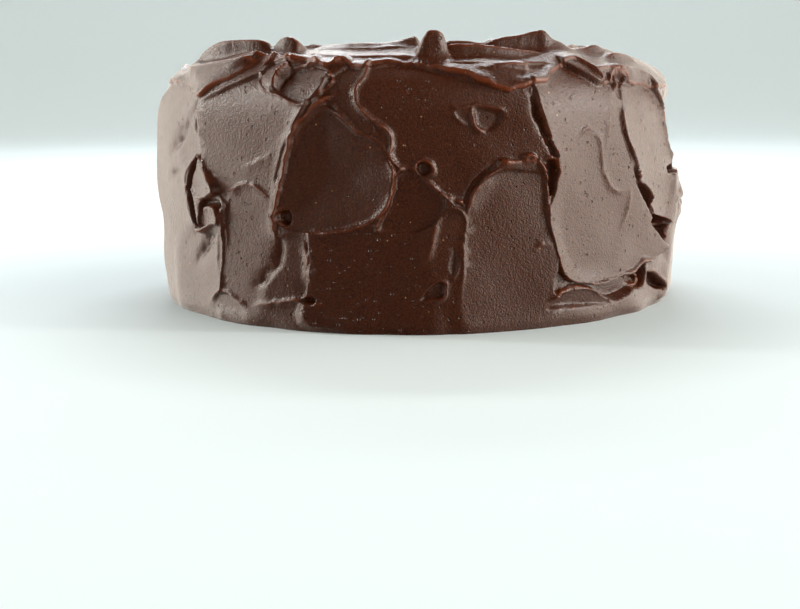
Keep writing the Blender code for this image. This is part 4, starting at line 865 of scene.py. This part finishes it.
# Cocoa and sugar grain darkens and lightens it, drawn as coarse as it needs to show, tan specks are painted
# highlights standing for the glints of small bubbles, and thin lips are painted redder for the red light they
# let through
GRAIN_WIDTH = 0.7
PAINTED_GLINTS_APART = 6.5
tree = chocolate.node_tree
spot = add_node(tree, "TexCoord").outputs["Object"]
grain_noise = add_node(tree, "TexNoise", Vector=spot, Scale=1 / (GRAIN_WIDTH * MM), Detail=2, Roughness=0.6)
grain = grain_noise.outputs[0]
grain_tone = add_node(tree, "MapRange", Value=grain, From_Min=0.35, From_Max=0.65)
grainy = add_node(tree, "Mix", {"data_type": "RGBA"}, Factor=grain_tone.outputs["Result"])
grainy.inputs["A"].default_value = linear("#371606")
grainy.inputs["B"].default_value = linear("#50240e")
# Tan specks on scattered cells: painted highlights, the glints of small bubbles
painted_glint_cells = add_node(tree, "TexVoronoi", Vector=spot, Scale=1 / (PAINTED_GLINTS_APART * MM))
painted_glint = add_node(tree, "MapRange", Value=painted_glint_cells.outputs["Distance"], From_Min=0.06, From_Max=0.03)
with_painted_glints = add_node(tree, "Mix", {"data_type": "RGBA"}, Factor=painted_glint.outputs["Result"])
tree.links.new(grainy.outputs["Result"], with_painted_glints.inputs["A"])
with_painted_glints.inputs["B"].default_value = linear("#b07c4e")
# Ridge crests are painted redder, a painted glow for the red light that passes through thin frosting
thin_edge = add_node(tree, "Attribute", {"attribute_name": "thin_edge"}).outputs["Fac"]
reddened = add_node(tree, "Mix", {"data_type": "RGBA"}, Factor=thin_edge)
tree.links.new(with_painted_glints.outputs["Result"], reddened.inputs["A"])
reddened.inputs["B"].default_value = linear("#71300f")
tree.links.new(reddened.outputs["Result"], shader.inputs["Base Color"])

# The same grain as relief, with broader drags of the knife, then burst air bubbles of two sizes
DRAG_WIDTH = 2.2
DRAG_DEEP = 0.14
GRAIN_DEEP = 0.24
drag = add_node(tree, "TexNoise", Vector=spot, Scale=1 / (DRAG_WIDTH * MM), Detail=2, Roughness=0.6)
normal = add_node(tree, "Bump", Distance=DRAG_DEEP * MM, Height=drag.outputs[0]).outputs["Normal"]
normal = add_node(tree, "Bump", Distance=GRAIN_DEEP * MM, Height=grain, Normal=normal).outputs["Normal"]
for apart, bubble_radius, deep in ((5.5, 0.8, 0.5), (2.6, 0.4, 0.3)):
    cells = add_node(tree, "TexVoronoi", Vector=spot, Scale=1 / (apart * MM))
    pit = add_node(tree, "MapRange", {"interpolation_type": "SMOOTHSTEP"}, Value=cells.outputs["Distance"])
    pit.inputs["From Min"].default_value = 0.6 * bubble_radius / apart
    pit.inputs["From Max"].default_value = bubble_radius / apart
    bump = add_node(tree, "Bump", Distance=deep * MM, Height=pit.outputs["Result"], Normal=normal)
    normal = bump.outputs["Normal"]
tree.links.new(normal, shader.inputs["Normal"])
frosting_mesh.materials.clear()
frosting_mesh.materials.append(chocolate)
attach(frosting, "root")
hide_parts("frosted_cake")

# The studio, in metres. A pale sweep of paper under and behind the cake, soft light from both sides and from
# above, and an unlit room behind the camera, which keeps the front of the cake dark.
FLOOR_HALF_WIDE = 4.0
FLOOR_FRONT = -2.5
SWEEP_START = 1.3
SWEEP_RADIUS = 1.0
SWEEP_TOP = 3
SWEEP_PIECES = 16
sweep = bmesh.new()
sweep_side = [(FLOOR_FRONT, 0), (SWEEP_START, 0)]
for step in range(1, SWEEP_PIECES + 1):
    a = step / SWEEP_PIECES * math.pi / 2
    sweep_side.append((SWEEP_START + SWEEP_RADIUS * math.sin(a), SWEEP_RADIUS * (1 - math.cos(a))))
sweep_side.append((SWEEP_START + SWEEP_RADIUS, SWEEP_TOP))
side_verts = [sweep.verts.new((-FLOOR_HALF_WIDE, back, up)) for back, up in sweep_side]
profile_edges = [sweep.edges.new(pair) for pair in zip(side_verts, side_verts[1:])]
pulled = bmesh.ops.extrude_edge_only(sweep, edges=profile_edges)
moved = [v for v in pulled["geom"] if isinstance(v, bmesh.types.BMVert)]
bmesh.ops.translate(sweep, verts=moved, vec=(2 * FLOOR_HALF_WIDE, 0, 0))
bmesh.ops.recalc_face_normals(sweep, faces=sweep.faces[:])
sweep_mesh = bpy.data.meshes.new("paper_sweep")
sweep.to_mesh(sweep_mesh)
sweep.free()
sweep_mesh.shade_smooth()
floor = bpy.data.objects.new("paper_sweep", sweep_mesh)
bpy.context.scene.collection.objects.link(floor)
paper = bpy.data.materials.new("studio_paper_matte")
paper.use_nodes = True
paper_shader = paper.node_tree.nodes["Principled BSDF"]
paper_shader.inputs["Base Color"].default_value = linear("#deebf0")
paper_shader.inputs["Roughness"].default_value = 0.9
paper_shader.inputs["Specular IOR Level"].default_value = 0.1
sweep_mesh.materials.append(paper)
floor.visible_glossy = False


def soft_light(name, place, aim, wide, high, radiance, colour):
    """A soft panel whose brightness doesn't change with its size."""
    panel = bpy.data.lights.new(name, "AREA")
    panel.shape = "RECTANGLE"
    panel.size = wide
    panel.size_y = high
    panel.energy = radiance * math.pi * wide * high
    panel.color = linear(colour)[:3]
    light = bpy.data.objects.new(name, panel)
    light.location = place
    light.rotation_euler = (Vector(aim) - Vector(place)).to_track_quat("-Z", "Y").to_euler()
    light.visible_camera = False
    bpy.context.scene.collection.objects.link(light)


CAKE_MIDDLE = (0, 0, 0.06)
soft_light("left_softbox", (-0.80, 0.05, 0.42), CAKE_MIDDLE, 0.08, 0.4, 24, "#fffdf8")
soft_light("right_softbox", (0.80, -0.25, 0.42), CAKE_MIDDLE, 0.08, 0.4, 26, "#fffdf8")
soft_light("overhead_softbox", (0, 0.75, 0.95), CAKE_MIDDLE, 0.7, 0.08, 22, "#ffffff")
soft_light("window_behind", (-0.1, 1.0, 0.75), CAKE_MIDDLE, 1.0, 0.14, 10, "#f6fbff")
soft_light("backdrop_wash", (0, 1.3, 1.9), (0, 2.3, 0.9), 2.5, 0.4, 2.0, "#f4faff")

room = bpy.data.worlds.new("studio_room")
room.use_nodes = True
tree = room.node_tree
direction = add_node(tree, "SeparateXYZ", _0=add_node(tree, "TexCoord").outputs["Generated"])


def brightness(axis, steps):
    """Brightness from 0 to 1 by how far a direction points along an axis, from -1 to 1."""
    along_axis = add_node(tree, "MapRange", Value=direction.outputs[axis], From_Min=-1.0)
    ramp = add_node(tree, "ValToRGB", Fac=along_axis.outputs["Result"])
    while len(ramp.color_ramp.elements) < len(steps):
        ramp.color_ramp.elements.new(0.5)
    for element, (position, value) in zip(ramp.color_ramp.elements, steps):
        element.position = (position + 1) / 2
        element.color = (value, value, value, 1)
    return ramp.outputs["Color"]


# The pale walls, from the front at -1 to the backdrop at 1. The left one starts a little before the cake's
# middle, and the right one farther forward. Both are brightest level with the cake and dark at the ceiling.
ROOM_BRIGHTNESS = 8.5
BACKDROP = [(0.9, 0.2)]
LEFT_WALL = [(-1, 0.008), (-0.8, 0.04), (-0.35, 0.07), (-0.2, 0.14), (-0.06, 0.6), (0.3, 0.52), (0.7, 0.33)]
RIGHT_WALL = [(-1, 0.01), (-0.85, 0.04), (-0.7, 0.14), (-0.5, 0.5), (-0.2, 0.65), (0.3, 0.46), (0.7, 0.34)]
WALL_HEIGHT = [(-1, 0.05), (-0.5, 0.3), (-0.2, 0.9), (0, 1)]
WALL_HEIGHT += [(0.35, 0.85), (0.65, 0.42), (0.85, 0.08), (1, 0.04)]
on_right = add_node(tree, "MapRange", Value=direction.outputs["X"], From_Min=-0.05, From_Max=0.35)
walls = add_node(tree, "Mix", _0=on_right.outputs["Result"])
tree.links.new(brightness("Y", LEFT_WALL + BACKDROP), walls.inputs["A"])
tree.links.new(brightness("Y", RIGHT_WALL + BACKDROP), walls.inputs["B"])
tall = brightness("Z", WALL_HEIGHT)
lit = add_node(tree, "Math", {"operation": "MULTIPLY"}, _0=walls.outputs["Result"], _1=tall)
strength = add_node(tree, "Math", {"operation": "MULTIPLY"}, _0=lit.outputs[0], _1=ROOM_BRIGHTNESS)
tree.nodes["Background"].inputs["Color"].default_value = linear("#fff7ea")
tree.links.new(strength.outputs[0], tree.nodes["Background"].inputs["Strength"])
bpy.context.scene.world = room
bpy.context.scene.view_settings.view_transform = "Standard"

# The camera stands nearly level with the top of the cake, about 0.6 m away, and looks down a little. Its
# place is in millimetres, and its turns are in radians.
SENSOR_WIDTH = 36
FOCAL_PIXELS = 1285.3
IMAGE_WIDTH = 800
CAMERA_PLACE = Vector((-6.1, -604.2, 101.65)) * MM
LOOK_DOWN = 0.1809
ROLL = -0.0082
YAW = -0.0025
forward = math.cos(LOOK_DOWN)
ahead = Vector((math.sin(YAW) * forward, math.cos(YAW) * forward, -math.sin(LOOK_DOWN)))
level = Vector((math.cos(YAW), -math.sin(YAW), 0))
upright = level.cross(ahead)
right = level * math.cos(ROLL) + upright * math.sin(ROLL)
over_head = upright * math.cos(ROLL) - level * math.sin(ROLL)
lens = bpy.data.cameras.new("photo_camera")
lens.sensor_width = SENSOR_WIDTH
lens.lens = SENSOR_WIDTH * FOCAL_PIXELS / IMAGE_WIDTH
camera = bpy.data.objects.new("photo_camera", lens)
camera.matrix_world = Matrix((right, over_head, -ahead)).transposed().to_4x4()
camera.location = CAMERA_PLACE
bpy.context.scene.collection.objects.link(camera)
bpy.context.scene.camera = camera
